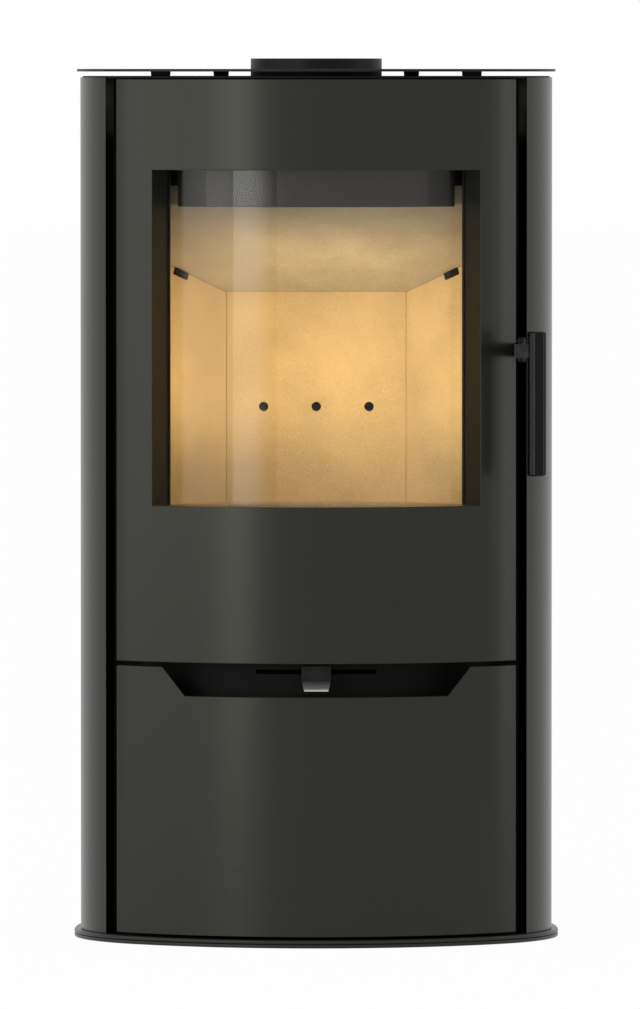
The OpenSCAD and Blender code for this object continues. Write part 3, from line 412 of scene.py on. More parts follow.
class Finishes(Enum):
    """Every finish on the stove."""

    CASING = Paint("Casing paint", (0.0122, 0.0125, 0.0098), 0.28, sheen=(0.97, 1.0, 0.86))
    TOP = Paint("Top paint", (0.010, 0.0098, 0.009), 0.45, 0.2)
    PLINTH = Paint("Plinth paint", (0.012, 0.0117, 0.011), 0.33)
    REAR = Paint("Rear paint", (0.016, 0.0155, 0.015), 0.50)
    COLLAR = Paint("Collar paint", (0.006, 0.0058, 0.0055), 0.42, 0.2)
    BLACK = Paint("Black steel", (0.005, 0.005, 0.005), 0.5, 0.2)
    # Black paint made darker than the black steel: painted shade in the gaps and the recess where these
    # parts sit
    DARK = Paint("Black paint darkened as painted shade", (0.0035, 0.0034, 0.0030), 0.6, 0.12)
    FIREBOX = Paint("Firebox steel", (0.012, 0.011, 0.010), 0.6, 0.3, 0.3, 2 * MM)
    AIR = Paint("Air-box steel", (0.020, 0.020, 0.019), 0.55)
    HANDLE = Paint("Handle paint", (0.002, 0.002, 0.002), 0.12, 0.14, 0.02)
    ARM = Paint("Arm paint", (0.005, 0.005, 0.0048), 0.35, 0.3, wear=0.1)
    LEVER = Paint("Lever paint", (0.0035, 0.0035, 0.0033), 0.35, 0.15, wear=0.05)
    PAN = Paint("Pan steel", (0.05, 0.05, 0.048), 0.5, 0.4, wear=0.2)
    SOOTED = Paint("Sooted steel", (0.012, 0.0112, 0.009), 0.34, 0.3, 0.008, 1.5 * MM)
    SHIELD = Steel("Shield steel", (0.45, 0.45, 0.44), 0.4, grain_size=6 * MM, squeeze_z=1.0)
    ZINC = Steel("Zinc-plated steel", (0.55, 0.55, 0.54), 0.32)
    BRIGHT = Steel("Brushed stainless steel", (0.44, 0.44, 0.42), 0.36, 0.04, 1.0)
    IRON = Paint("Cast iron", (0.020, 0.019, 0.018), 0.65, 0.4, 0.6, 2.2 * MM, 0.6)
    LINING = Board("Lining board", (0.64, 0.48, 0.24))
    BRICK = Board("Hearth brick", (0.46, 0.36, 0.24), soot_share=0.8)
    BAFFLE = Board("Baffle board", (0.46, 0.41, 0.31), soot_share=0.35)
    ROPE = Fibre("Rope fibre", (0.20, 0.19, 0.17))
    TAPE = Fibre("Flat seal", (0.10, 0.095, 0.085))
    GLASS = Glass("Stove glass")


# ---------------------------------------------------------------- pieces


def carried(piece: bpy.types.Object, node: str, replaces: bool = True) -> bpy.types.Object:
    """Makes a piece ride with a node's body, and hides the node where the piece stands for it.

    Args:
        piece: The finished piece.
        node: The CAD node that it belongs to.
        replaces: Whether the piece stands for the node.

    Returns:
        The piece.
    """
    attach(piece, frame["nodes"][node]["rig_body"])
    if replaces:
        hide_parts(node)
    log.info("%s: %d faces", piece.name, len(piece.data.polygons))
    return piece


def eased_copy(node: str, width: float, finish: Finishes, sharp: float = 30.0) -> bpy.types.Object:
    """Makes a copy of a CAD node with eased edges, which stands for it.

    Args:
        node: The node's name.
        width: How far the rounding reaches from each edge, in metres.
        finish: The copy's finish.
        sharp: The least angle of an edge that is rounded, in degrees.

    Returns:
        The copy.
    """
    mesh = bpy.data.meshes.new(node + "_eased")
    shape = bmesh.new()
    shape.from_mesh(frame["nodes"][node].data)
    bmesh.ops.remove_doubles(shape, verts=shape.verts, dist=0.01 * MM)
    bmesh.ops.dissolve_limit(shape, angle_limit=math.radians(0.4), verts=shape.verts,
                             edges=shape.edges, use_dissolve_boundaries=False)
    bmesh.ops.recalc_face_normals(shape, faces=shape.faces)
    for face in shape.faces:
        face.smooth = True
    shape.to_mesh(mesh)
    shape.free()
    for name in ("custom_normal", "sharp_edge"):
        if name in mesh.attributes:
            mesh.attributes.remove(mesh.attributes[name])
    mesh.set_sharp_from_angle(angle=math.radians(sharp))
    mesh.materials.clear()
    mesh.materials.append(finish.value.material())
    piece = bpy.data.objects.new(mesh.name, mesh)
    bpy.context.scene.collection.objects.link(piece)
    bevel = piece.modifiers.new("Eased edges", "BEVEL")
    bevel.limit_method = "ANGLE"
    bevel.angle_limit = math.radians(sharp)
    bevel.width = width
    bevel.segments = 3
    bevel.harden_normals = True
    return carried(piece, node)


class Recipe:
    """A Geometry Nodes tree with named inputs, whose result becomes a plain mesh."""

    def __init__(self, name: str, inputs: Sequence[str]) -> None:
        """Starts the tree with a geometry, a material and the named float inputs."""
        self.group = bpy.data.node_groups.new(name, "GeometryNodeTree")
        self.group.interface.new_socket("Geometry", in_out="INPUT", socket_type="NodeSocketGeometry")
        self.group.interface.new_socket("Material", in_out="INPUT", socket_type="NodeSocketMaterial")
        for label in inputs:
            self.group.interface.new_socket(label, in_out="INPUT", socket_type="NodeSocketFloat")
        self.group.interface.new_socket("Geometry", in_out="OUTPUT", socket_type="NodeSocketGeometry")
        self.tree = Tree(self.group)
        self.given = self.tree.add("NodeGroupInput").outputs

    def end(self, geometry: Socket, smooth: bool = True) -> None:
        """Realizes the instances, sets the material and closes the tree."""
        real = self.tree.add("GeometryNodeRealizeInstances", {"Geometry": geometry})
        shaded = self.tree.add("GeometryNodeSetShadeSmooth", {
            "Geometry": real.outputs[0], "Shade Smooth": smooth})
        dressed = self.tree.add("GeometryNodeSetMaterial", {
            "Geometry": shaded.outputs[0], "Material": self.given["Material"]})
        self.tree.add("NodeGroupOutput", {"Geometry": dressed.outputs[0]})

    def make(self, name: str, base: bpy.types.Mesh, finish: Finishes, **values: float) -> bpy.types.Object:
        """Runs the tree on a mesh.

        Args:
            name: The new piece's name.
            base: The mesh that the tree starts from.
            finish: The piece's finish.
            values: The tree's float inputs, by name with _ for a space.

        Returns:
            The piece, a plain mesh at the origin.
        """
        host = bpy.data.objects.new(name, base)
        bpy.context.scene.collection.objects.link(host)
        modifier = host.modifiers.new("Recipe", "NODES")
        modifier.node_group = self.group
        wanted = {label.replace("_", " "): value for label, value in values.items()}
        for item in self.group.interface.items_tree:
            if item.in_out == "INPUT" and item.name == "Material":
                modifier[item.identifier] = finish.value.material()
            elif item.in_out == "INPUT" and item.name in wanted:
                modifier[item.identifier] = float(wanted[item.name])
        ready = host.evaluated_get(bpy.context.evaluated_depsgraph_get())
        mesh = bpy.data.meshes.new_from_object(ready)
        host.modifiers.remove(modifier)
        host.data = mesh
        mesh.name = name
        if not mesh.materials:
            mesh.materials.append(finish.value.material())
        return host


def points_mesh(name: str, places: Sequence[Point], ways: Sequence[Point]) -> bpy.types.Mesh:
    """Makes a mesh of loose points.

    Args:
        name: The mesh's name.
        places: Where the points lie.
        ways: The direction that each one's piece stands in.

    Returns:
        The mesh, with the directions in its attribute "way".
    """
    mesh = bpy.data.meshes.new(name)
    mesh.from_pydata([tuple(place) for place in places], [], [])
    way = mesh.attributes.new("way", "FLOAT_VECTOR", "POINT")
    for item, value in zip(way.data, ways):
        item.vector = value
    return mesh


def loop_mesh(name: str, places: Sequence[Point], closed: bool = True) -> bpy.types.Mesh:
    """Makes a mesh of edges through the places in order, closed or open."""
    mesh = bpy.data.meshes.new(name)
    count = len(places)
    edges = [(i, (i + 1) % count) for i in range(count if closed else count - 1)]
    mesh.from_pydata([tuple(place) for place in places], edges, [])
    return mesh


class Recipes:
    """The Geometry Nodes trees, each built once."""

    _made: dict[str, Recipe] = {}

    @classmethod
    def get(cls, name: str) -> Recipe:
        """Returns a recipe by name, and builds it on first use."""
        if name not in cls._made:
            cls._made[name] = getattr(cls, "_" + name)()
        return cls._made[name]

    @staticmethod
    def _screws() -> Recipe:
        """Button-head screws with a hexagon socket and a washer, one on each point."""
        recipe = Recipe("Socket screws", ("Head width", "Head height", "Socket width",
                                          "Washer width", "Washer height"))
        tree, given = recipe.tree, recipe.given
        radius = tree.math("MULTIPLY", given["Head width"], 0.5)

        def drum(kind: str, count: int, low: Value, high: Optional[Value], tall: Value,
                 lift: Value) -> Socket:
            """One turned part of the screw, standing on the height lift."""
            sizes = {"Vertices": count, "Depth": tall}
            if high is None:
                sizes["Radius"] = low
            else:
                sizes["Radius Bottom"], sizes["Radius Top"] = low, high
            part = tree.add("GeometryNodeMesh" + kind, sizes)
            middle = tree.math("ADD", lift, 0.0 if high is not None else tree.math(
                "MULTIPLY", tall, 0.5))
            up = tree.add("ShaderNodeCombineXYZ", {"Z": middle}).outputs[0]
            return tree.add("GeometryNodeTransform", {
                "Geometry": part.outputs["Mesh"], "Translation": up}).outputs[0]

        under = given["Washer height"]
        rise = given["Head height"]
        washer = drum("Cylinder", 28, tree.math("MULTIPLY", given["Washer width"], 0.5), None, under, 0.0)
        low = drum("Cone", 28, radius, tree.math("MULTIPLY", radius, 0.9),
                   tree.math("MULTIPLY", rise, 0.55), under)
        crown_at = tree.math("ADD", under, tree.math("MULTIPLY", rise, 0.55))
        crown = drum("Cone", 28, tree.math("MULTIPLY", radius, 0.9), tree.math("MULTIPLY", radius, 0.6),
                     tree.math("MULTIPLY", rise, 0.45), crown_at)
        joined = tree.add("GeometryNodeJoinGeometry")
        tree.feed(joined.inputs[0], low)
        tree.feed(joined.inputs[0], crown)
        welded = tree.add("GeometryNodeMeshBoolean", operation="UNION", solver="EXACT")
        tree.feed(welded.inputs["Mesh"], joined.outputs[0])
        welded.inputs["Self Intersection"].default_value = True
        hexagon = drum("Cylinder", 6, tree.math("MULTIPLY", given["Socket width"], 0.5), None, rise,
                       tree.math("ADD", under, tree.math("MULTIPLY", rise, 0.35)))
        cut = tree.add("GeometryNodeMeshBoolean", operation="DIFFERENCE", solver="EXACT")
        tree.feed(cut.inputs["Mesh 1"], welded.outputs[0])
        tree.feed(cut.inputs["Mesh 2"], hexagon)
        screw = tree.add("GeometryNodeJoinGeometry")
        tree.feed(screw.inputs[0], washer)
        tree.feed(screw.inputs[0], cut.outputs[0])
        way = tree.add("GeometryNodeInputNamedAttribute", data_type="FLOAT_VECTOR", inputs={"Name": "way"})
        stand = tree.add("FunctionNodeAlignRotationToVector", axis="Z",
                         inputs={"Vector": way.outputs["Attribute"]})
        chance = tree.add("FunctionNodeRandomValue", data_type="FLOAT", inputs={"Seed": 7})
        angle = tree.math("MULTIPLY", chance.outputs[1], math.tau)
        spin = tree.add("FunctionNodeAxisAngleToRotation", {"Axis": (0.0, 0.0, 1.0), "Angle": angle})
        turned = tree.add("FunctionNodeRotateRotation", rotation_space="LOCAL", inputs={
            "Rotation": stand.outputs[0], "Rotate By": spin.outputs[0]})
        placed = tree.add("GeometryNodeInstanceOnPoints", {
            "Points": given["Geometry"], "Instance": screw.outputs[0], "Rotation": turned.outputs[0]})
        recipe.end(placed.outputs[0], smooth=False)
        return recipe

    @staticmethod
    def _rope() -> Recipe:
        """Braided rope round a core, along a loop on the bow."""
        recipe = Recipe("Braided rope", ("Rope width", "Strand width", "Weave", "Pitch", "Steps"))
        tree, given = recipe.tree, recipe.given
        pairs = 3
        path = tree.add("GeometryNodeMeshToCurve", {"Mesh": given["Geometry"]}).outputs[0]
        length = tree.add("GeometryNodeCurveLength", {"Curve": path}).outputs[0]
        turns = tree.math("ROUND", tree.math("DIVIDE", length, given["Pitch"]))
        count = tree.math("MULTIPLY", turns, given["Steps"])
        fine = tree.add("GeometryNodeResampleCurve", {"Curve": path, "Count": count}).outputs[0]
        copies = tree.add("GeometryNodeDuplicateElements", domain="SPLINE", inputs={
            "Geometry": fine, "Amount": 2 * pairs})
        index = copies.outputs["Duplicate Index"]
        hand = tree.math("SUBTRACT", tree.math("MULTIPLY", tree.math("MODULO", index, 2.0), 2.0), 1.0)
        start = tree.math("MULTIPLY", tree.math("FLOOR", tree.math("DIVIDE", index, 2.0)),
                          math.tau / pairs)
        along = tree.add("GeometryNodeSplineParameter").outputs["Factor"]
        swing = tree.math("MULTIPLY", tree.math("MULTIPLY", along, turns), math.tau)
        angle = tree.math("ADD", tree.math("MULTIPLY", swing, hand), start)
        wave = tree.math("MULTIPLY", tree.math("COSINE", tree.math("MULTIPLY", swing, float(pairs))), hand)
        strand_r = tree.math("MULTIPLY", given["Strand width"], 0.5)
        reach = tree.math("SUBTRACT", tree.math("SUBTRACT", tree.math(
            "MULTIPLY", given["Rope width"], 0.5), strand_r), given["Weave"])
        radius = tree.math("ADD", reach, tree.math("MULTIPLY", wave, given["Weave"]))
        spot = tree.add("GeometryNodeInputPosition").outputs[0]
        flat = tree.vector("MULTIPLY", tree.vector(
            "SUBTRACT", spot, (0.0, BOW_Y, 0.0)).outputs[0], (1.0, 1.0, 0.0)).outputs[0]
        out = tree.vector("NORMALIZE", flat).outputs[0]
        tangent = tree.add("GeometryNodeInputTangent").outputs[0]
        beside = tree.vector("NORMALIZE", tree.vector("CROSS_PRODUCT", tangent, out).outputs[0]).outputs[0]
        shift = tree.vector("ADD", self_scaled(tree, out, tree.math("MULTIPLY", radius, tree.math(
            "COSINE", angle))), self_scaled(tree, beside, tree.math("MULTIPLY", radius, tree.math(
                "SINE", angle)))).outputs[0]
        strands = tree.add("GeometryNodeSetPosition", {
            "Geometry": copies.outputs["Geometry"], "Offset": shift}).outputs[0]
        thread = tree.add("GeometryNodeCurvePrimitiveCircle", mode="RADIUS", inputs={
            "Resolution": 6, "Radius": strand_r}).outputs[0]
        braid = tree.add("GeometryNodeCurveToMesh", {"Curve": strands, "Profile Curve": thread})
        core_ring = tree.add("GeometryNodeCurvePrimitiveCircle", mode="RADIUS", inputs={
            "Resolution": 10, "Radius": reach}).outputs[0]
        coarse = tree.add("GeometryNodeResampleCurve", {"Curve": path, "Count": 400}).outputs[0]
        core = tree.add("GeometryNodeCurveToMesh", {"Curve": coarse, "Profile Curve": core_ring})
        both = tree.add("GeometryNodeJoinGeometry")
        tree.feed(both.inputs[0], braid.outputs[0])
        tree.feed(both.inputs[0], core.outputs[0])
        recipe.end(both.outputs[0])
        return recipe


def self_scaled(tree: Tree, vector: Socket, amount: Socket) -> Socket:
    """Scales a vector by an amount and returns it."""
    node = tree.add("ShaderNodeVectorMath", operation="SCALE")
    tree.feed(node.inputs[0], vector)
    tree.feed(node.inputs["Scale"], amount)
    return node.outputs[0]


# ---------------------------------------------------------------- sub-assemblies


@dataclass
class SubAssembly:
    """Nodes that belong together, with the finish of each and the edges to ease."""

    finishes: dict[str, Finishes]
    edges: dict[str, float] = field(default_factory=dict)

    def build(self) -> None:
        """Dresses the nodes, eases edges and adds the details."""
        for node, finish in self.finishes.items():
            mesh = frame["nodes"][node].data
            mesh.materials.clear()
            mesh.materials.append(finish.value.material())
        for node, width in self.edges.items():
            eased_copy(node, width, self.finishes[node])
        self.details()
        log.info("%s: %d nodes dressed", type(self).__name__, len(self.finishes))

    def details(self) -> None:
        """Adds what only this sub-assembly has; most have nothing more."""

    @staticmethod
    def screw_groups(node: str, across: float) -> list[tuple[Point, list[Vector]]]:
        """Finds the screws in a node of screws.

        Args:
            node: The node's name.
            across: The width of one screw; points nearer than this belong together.

        Returns:
            The middle of each screw's box, and its points.
        """
        groups: list[list[Vector]] = []
        for vertex in frame["nodes"][node].data.vertices:
            for group in groups:
                if (group[0] - vertex.co).length < across:
                    group.append(vertex.co)
                    break
            else:
                groups.append([vertex.co])
        return [(tuple((min(p[i] for p in group) + max(p[i] for p in group)) / 2 for i in range(3)),
                 group) for group in groups]


@dataclass
class Casing(SubAssembly):
    """Plinth plates, side panels, posts, casing top, spacers, top plate and collar."""

    finishes: dict[str, Finishes] = field(default_factory=lambda: {
        "base_plate": Finishes.PLINTH, "plinth_plate": Finishes.PLINTH,
        "side_panel_left": Finishes.CASING, "side_panel_right": Finishes.CASING,
        "front_post_left": Finishes.DARK, "front_post_right": Finishes.DARK,
        "bay_sides": Finishes.DARK, "apron": Finishes.DARK, "drawer_shield": Finishes.SHIELD,
        "casing_top": Finishes.DARK, "top_spacers": Finishes.BLACK, "top_plate": Finishes.TOP,
        "flue_collar": Finishes.COLLAR})
    edges: dict[str, float] = field(default_factory=lambda: {
        "base_plate": 1.7 * MM, "plinth_plate": 1.7 * MM, "side_panel_left": 0.5 * MM,
        "side_panel_right": 0.5 * MM, "top_plate": 0.5 * MM, "flue_collar": 0.8 * MM,
        "top_spacers": 0.5 * MM})


@dataclass
class Back(SubAssembly):
    """Rear panel with its screws, the blanked outlet, the heat shield and the spigot."""

    finishes: dict[str, Finishes] = field(default_factory=lambda: {
        "rear_panel": Finishes.REAR, "rear_screws": Finishes.ZINC, "outlet_blank": Finishes.FIREBOX,
        "outlet_cover": Finishes.REAR, "rear_shield": Finishes.SHIELD, "air_spigot": Finishes.REAR})
    edges: dict[str, float] = field(default_factory=lambda: {
        "outlet_cover": 0.5 * MM, "air_spigot": 0.3 * MM})
    screw_width: float = 9 * MM

    def details(self) -> None:
        """Puts socket screws in the place of the plain heads."""
        places = [middle for middle, _ in self.screw_groups("rear_screws", self.screw_width)]
        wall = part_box("rear_screws")[0][1]
        base = points_mesh("rear_screw_points", [(x, wall, z) for x, _, z in places],
                           [(0.0, 1.0, 0.0)] * len(places))
        screws = Recipes.get("screws").make(
            "rear_socket_screws", base, Finishes.ZINC, Head_width=8 * MM, Head_height=2.2 * MM,
            Socket_width=4 * MM, Washer_width=11 * MM, Washer_height=0.6 * MM)
        carried(screws, "rear_screws")


@dataclass
class Firebox(SubAssembly):
    """Steel box with its boards, bricks, grate, ash pan and baffles."""

    finishes: dict[str, Finishes] = field(default_factory=lambda: {
        "firebox_shell": Finishes.FIREBOX, "firebox_front": Finishes.FIREBOX,
        "floor_plate": Finishes.FIREBOX, "floor_bricks": Finishes.BRICK, "grate": Finishes.IRON,
        "ash_pan": Finishes.PAN, "liner_back": Finishes.LINING, "liner_corners": Finishes.LINING,
        "liner_sides": Finishes.LINING, "baffle_lower": Finishes.BAFFLE,
        "baffle_clips": Finishes.BLACK, "baffle_upper": Finishes.FIREBOX,
        "baffle_rails": Finishes.FIREBOX, "air_wash_plate": Finishes.SOOTED,
        "air_wash_channel": Finishes.SOOTED, "latch_keeper": Finishes.BLACK,
        "keeper_roller": Finishes.ZINC, "hinge_brackets": Finishes.BLACK,
        "hinge_pins": Finishes.BLACK})
    edges: dict[str, float] = field(default_factory=lambda: {
        "floor_bricks": 1.2 * MM, "grate": 0.8 * MM, "liner_back": 1.6 * MM,
        "liner_corners": 1.6 * MM, "liner_sides": 1.6 * MM, "baffle_lower": 1.6 * MM,
        "baffle_clips": 0.4 * MM, "air_wash_plate": 0.5 * MM, "firebox_front": 0.6 * MM})


@dataclass
class AirControl(SubAssembly):
    """Air box and duct, the sliding damper and its lever with the bright lip."""

    finishes: dict[str, Finishes] = field(default_factory=lambda: {
        "air_duct": Finishes.AIR, "air_box": Finishes.AIR, "damper_rails": Finishes.AIR,
        "damper_plate": Finishes.ZINC, "air_lever": Finishes.LEVER, "lever_tip": Finishes.BRIGHT})
    edges: dict[str, float] = field(default_factory=lambda: {
        "air_lever": 0.5 * MM, "lever_tip": 0.3 * MM})


@dataclass
class Door(SubAssembly):
    """Bowed door with its glass, seals, clips and lugs."""

    finishes: dict[str, Finishes] = field(default_factory=lambda: {
        "door_skin": Finishes.CASING, "door_frame": Finishes.BLACK, "door_lugs": Finishes.BLACK,
        "glass_pane": Finishes.GLASS, "glass_seal": Finishes.TAPE, "glass_clips": Finishes.ZINC,
        "door_rope": Finishes.ROPE, "latch_pin": Finishes.DARK})
    edges: dict[str, float] = field(default_factory=lambda: {
        "door_skin": 1.3 * MM, "door_frame": 0.6 * MM})
    rope_d: float = 10 * MM
    rope_r: float = 311.12 * MM
    rope_corner: float = 9 * MM

    def details(self) -> None:
        """Lays the braided rope round the back of the frame."""
        low, high = (Vector(corner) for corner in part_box("door_rope"))
        half = self.rope_d / 2
        phi = math.asin((high.x - half) / self.rope_r)
        z0, z1 = low.z + half, high.z - half
        bend = self.rope_corner
        places = []
        for side, top, begin in ((1, 0, -90), (1, 1, 0), (-1, 1, 90), (-1, 0, 180)):
            arc_x = side * (phi * self.rope_r - bend)
            arc_z = z1 - bend if top else z0 + bend
            for step in range(7):
                turn = math.radians(begin + 15 * step)
                along = (arc_x + bend * math.cos(turn)) / self.rope_r
                places.append((self.rope_r * math.sin(along), BOW_Y - self.rope_r * math.cos(along),
                               arc_z + bend * math.sin(turn)))
            places += self.run(places[-1], side, top, phi, z0, z1, bend)
        rope = Recipes.get("rope").make(
            "door_braid", loop_mesh("door_rope_path", places), Finishes.ROPE,
            Rope_width=self.rope_d, Strand_width=3.4 * MM, Weave=0.6 * MM, Pitch=30 * MM, Steps=24)
        carried(rope, "door_rope")

    def run(self, last: Point, side: int, top: int, phi: float, z0: float, z1: float,
            bend: float) -> list[Point]:
        """Points of the straight or bowed run that follows a corner.

        Args:
            last: The corner's last point.
            side: The corner's side, 1 or -1.
            top: Whether it is an upper corner.
            phi: Angle of the rope's vertical runs from the middle.
            z0: Height of the lower run.
            z1: Height of the upper run.
            bend: Radius of the corners.

        Returns:
            The points between this corner and the next.
        """
        if (side == 1) != bool(top):
            return [(last[0], last[1], last[2] + (z1 - z0 - 2 * bend) * share * (1 if side == 1 else -1))
                    for share in (0.25, 0.5, 0.75)]
        reach = phi - bend / self.rope_r
        level = z1 if top else z0
        start = reach if top else -reach
        return [(self.rope_r * math.sin(start * (1 - 2 * i / 24)),
                 BOW_Y - self.rope_r * math.cos(start * (1 - 2 * i / 24)), level)
                for i in range(1, 24)]


@dataclass
class Handle(SubAssembly):
    """Round grip on its arm."""

    finishes: dict[str, Finishes] = field(default_factory=lambda: {
        "handle_arm": Finishes.ARM, "handle_grip": Finishes.HANDLE})
    edges: dict[str, float] = field(default_factory=lambda: {"handle_arm": 0.7 * MM})


@dataclass
class Drawer(SubAssembly):
    """Bowed front with its finger recess, the box, the runners and the screws."""

    finishes: dict[str, Finishes] = field(default_factory=lambda: {
        "drawer_front": Finishes.CASING, "drawer_box": Finishes.PAN, "drawer_screws": Finishes.ZINC,
        "runner_outer": Finishes.ZINC, "runner_middle": Finishes.ZINC, "runner_inner": Finishes.ZINC})
    edges: dict[str, float] = field(default_factory=lambda: {
        "drawer_front": 0.7 * MM, "drawer_box": 0.4 * MM, "runner_outer": 0.3 * MM,
        "runner_middle": 0.3 * MM, "runner_inner": 0.3 * MM})
    screw_width: float = 9 * MM

    def details(self) -> None:
        """Puts socket screws, square to the bow, in the place of the plain heads."""
        feet, ways = [], []
        for middle, points in self.screw_groups("drawer_screws", self.screw_width):
            way = Vector((middle[0], middle[1] - BOW_Y, 0.0)).normalized()
            seat = max(way.dot(point) for point in points)
            foot = Vector(middle) + way * (seat - way.dot(Vector(middle)))
            feet.append(tuple(foot))
            ways.append(tuple(-way))
        screws = Recipes.get("screws").make(
            "drawer_socket_screws", points_mesh("drawer_screw_points", feet, ways), Finishes.ZINC,
            Head_width=8 * MM, Head_height=2.2 * MM, Socket_width=4 * MM, Washer_width=8.2 * MM,
            Washer_height=0.1 * MM)
        carried(screws, "drawer_screws")


# ---------------------------------------------------------------- studio


def aimed(name: str, data: bpy.types.ID, place: Point, target: Point) -> bpy.types.Object:
    """Puts a lamp or a card at a place, turned to a target, unseen by the camera.

    Args:
        name: The new object's name.
        data: Its lamp or mesh.
        place: Where it stands.
        target: What it faces.

    Returns:
        The new object.
    """
    thing = bpy.data.objects.new(name, data)
    thing.location = place
    thing.rotation_mode = "QUATERNION"
    thing.rotation_quaternion = (Vector(target) - Vector(place)).to_track_quat("-Z", "Y")
    thing.visible_camera = False
    bpy.context.scene.collection.objects.link(thing)
    return thing


@dataclass
class Softbox:
    """A glowing card that fades towards its edges, so that paint and glass mirror it softly."""

    name: str
    place: Point
    size: tuple[float, float]
    strength: float
    target: Point = (0.0, 0.0, 0.9)
    plateau: float = 0.15

    def make(self) -> bpy.types.Object:
        """Builds the card; its back is clear."""
        mesh = bpy.data.meshes.new(self.name)
        half_x, half_y = (length / 2 for length in self.size)
        mesh.from_pydata([(-half_x, half_y, 0), (half_x, half_y, 0), (half_x, -half_y, 0),
                          (-half_x, -half_y, 0)], [], [(0, 1, 2, 3)])
        material = bpy.data.materials.new(self.name)
        material.use_nodes = True
        material.node_tree.nodes.clear()
        tree = Tree(material.node_tree)
        place = tree.add("ShaderNodeSeparateXYZ", {
            0: tree.add("ShaderNodeTexCoord").outputs["Object"]})
        across = tree.ramp(tree.math("ABSOLUTE", place.outputs["X"]), self.plateau * half_x, half_x,
                           1.0, 0.0)
        upward = tree.ramp(tree.math("ABSOLUTE", place.outputs["Y"]), 0.5 * half_y, half_y, 1.0, 0.0)
        power = tree.math("MULTIPLY", tree.math("MULTIPLY", across, upward), self.strength)
        glow = tree.add("ShaderNodeEmission", {"Color": WHITE, "Strength": power})
        clear = tree.add("ShaderNodeBsdfTransparent")
        back = tree.add("ShaderNodeNewGeometry").outputs["Backfacing"]
        mixed = tree.add("ShaderNodeMixShader", {0: back, 1: glow.outputs[0], 2: clear.outputs[0]})
        tree.add("ShaderNodeOutputMaterial", {"Surface": mixed.outputs[0]})
        mesh.materials.append(material)
        card = aimed(self.name, mesh, self.place, self.target)
        return card


@dataclass
class Lamp:
    """One soft area lamp."""

    name: str
    place: Point
    target: Point
    size: tuple[float, float]
    watts: float
    colour: Colour = (1.0, 1.0, 1.0)

    def make(self) -> bpy.types.Object:
        """Builds the lamp and aims it."""
        data = bpy.data.lights.new(self.name, "AREA")
        data.shape = "RECTANGLE"
        data.size, data.size_y = self.size
        data.energy = self.watts
        data.color = self.colour
        return aimed(self.name, data, self.place, self.target)


def seen_directly(tree: Tree) -> Socket:
    """Returns 1 for rays of the camera, in mirrors and through glass, and 0 for the rest."""
    path = tree.add("ShaderNodeLightPath")
    seen = path.outputs["Is Camera Ray"]
    for ray in ("Is Glossy Ray", "Is Transmission Ray"):
        seen = tree.math("MAXIMUM", seen, path.outputs[ray])
    return seen


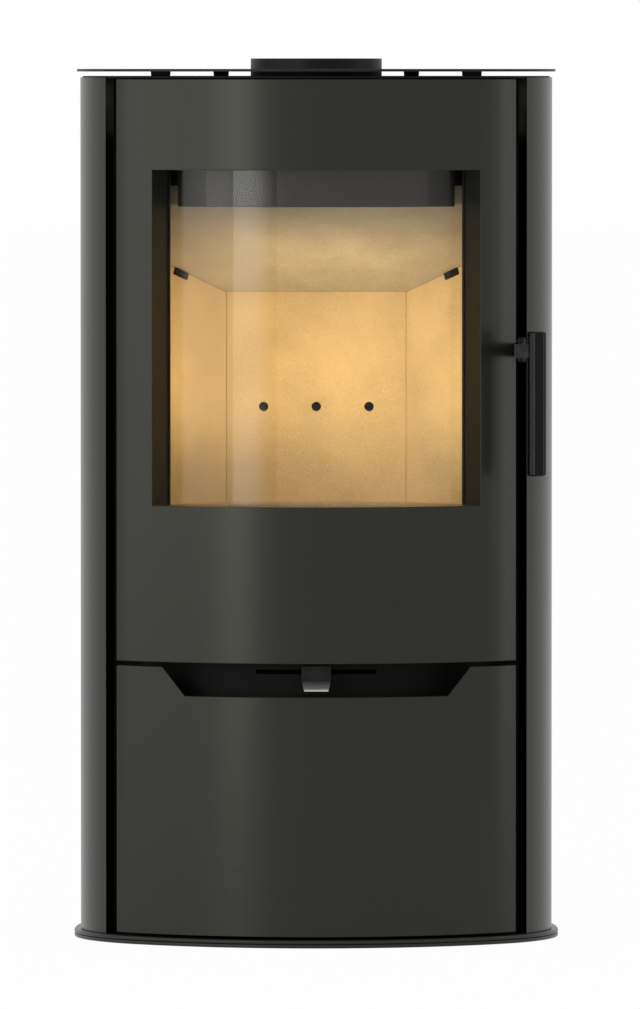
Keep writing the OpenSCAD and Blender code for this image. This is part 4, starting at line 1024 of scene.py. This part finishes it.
@dataclass
class Studio:
    """Camera, lamps, pale floor and white surroundings."""

    aim: tuple[float, float] = (0.0042, -0.235)
    distance: float = 12.9
    side: float = 0.0
    height: float = 0.990
    tilt: float = 2.174
    lens: float = 409.4
    floor_radius: float = 60.0
    ambient: float = 0.5
    softboxes: tuple[Softbox, ...] = (
        Softbox("Key softbox", (-2.45, -3.9, 0.95), (2.6, 3.4), 5.4),
        Softbox("Side softbox", (-3.6, -2.1, 1.1), (6.0, 3.0), 2.4, plateau=0.45),
        Softbox("Rim softbox", (3.1, -0.5, 1.1), (1.8, 3.0), 2.6),
    )
    hearth: Lamp = field(default_factory=lambda: Lamp(
        "Hearth lamp", (0.0, -0.03, 0.655), (0.0, 0.14, 0.72), (0.27, 0.16), 0.35, (1.0, 0.78, 0.46)))

    def camera(self) -> None:
        """Places the camera as the photographer stood: level with the top plate, far off."""
        data = bpy.data.cameras.new("Camera")
        data.lens = self.lens
        data.clip_end = 200.0
        camera = bpy.data.objects.new("Camera", data)
        camera.location = (self.side, self.aim[1] - self.distance, self.height)
        turn = math.atan2(self.side - self.aim[0], self.distance)
        camera.rotation_euler = (math.radians(90 - self.tilt), 0.0, turn)
        bpy.context.scene.collection.objects.link(camera)
        bpy.context.scene.camera = camera

    def world(self) -> None:
        """White to the camera, in mirrors and through glass, and a plain level of light on the stove."""
        world = bpy.data.worlds.new("Studio")
        world.use_nodes = True
        world.node_tree.nodes.clear()
        tree = Tree(world.node_tree)
        strength = tree.ramp(seen_directly(tree), 0.0, 1.0, self.ambient, 1.0)
        light = tree.add("ShaderNodeBackground", {"Color": WHITE, "Strength": strength})
        tree.add("ShaderNodeOutputWorld", {"Surface": light.outputs[0]})
        bpy.context.scene.world = world

    def floor(self) -> None:
        """A wide pale disc that keeps the stove's shadow."""
        mesh = bpy.data.meshes.new("Floor")
        shape = bmesh.new()
        bmesh.ops.create_circle(shape, cap_ends=True, segments=96, radius=self.floor_radius)
        shape.to_mesh(mesh)
        shape.free()
        floor = bpy.data.objects.new("Floor", mesh)
        bpy.context.scene.collection.objects.link(floor)
        material = bpy.data.materials.new("Pale floor")
        material.use_nodes = True
        material.node_tree.nodes.clear()
        tree = Tree(material.node_tree)
        matt = tree.add("ShaderNodeBsdfDiffuse", {"Color": rgba((0.9, 0.9, 0.9))})
        glow = tree.add("ShaderNodeEmission", {"Color": WHITE, "Strength": 1.0})
        share = tree.math("MULTIPLY", seen_directly(tree), 0.97)
        mixed = tree.add("ShaderNodeMixShader", {0: share, 1: matt.outputs[0], 2: glow.outputs[0]})
        tree.add("ShaderNodeOutputMaterial", {"Surface": mixed.outputs[0]})
        mesh.materials.append(material)

    def build(self) -> None:
        """Builds the whole studio."""
        bpy.context.scene.view_settings.view_transform = "Standard"
        self.camera()
        self.world()
        self.floor()
        for light in (*self.softboxes, self.hearth):
            light.make()
            log.info("%s placed", light.name)


def main() -> None:
    """Builds the stove's looks and the studio."""
    Studio().build()
    for part in (Casing(), Back(), Firebox(), AirControl(), Door(), Handle(), Drawer()):
        part.build()


if __name__ == "__main__":
    main()
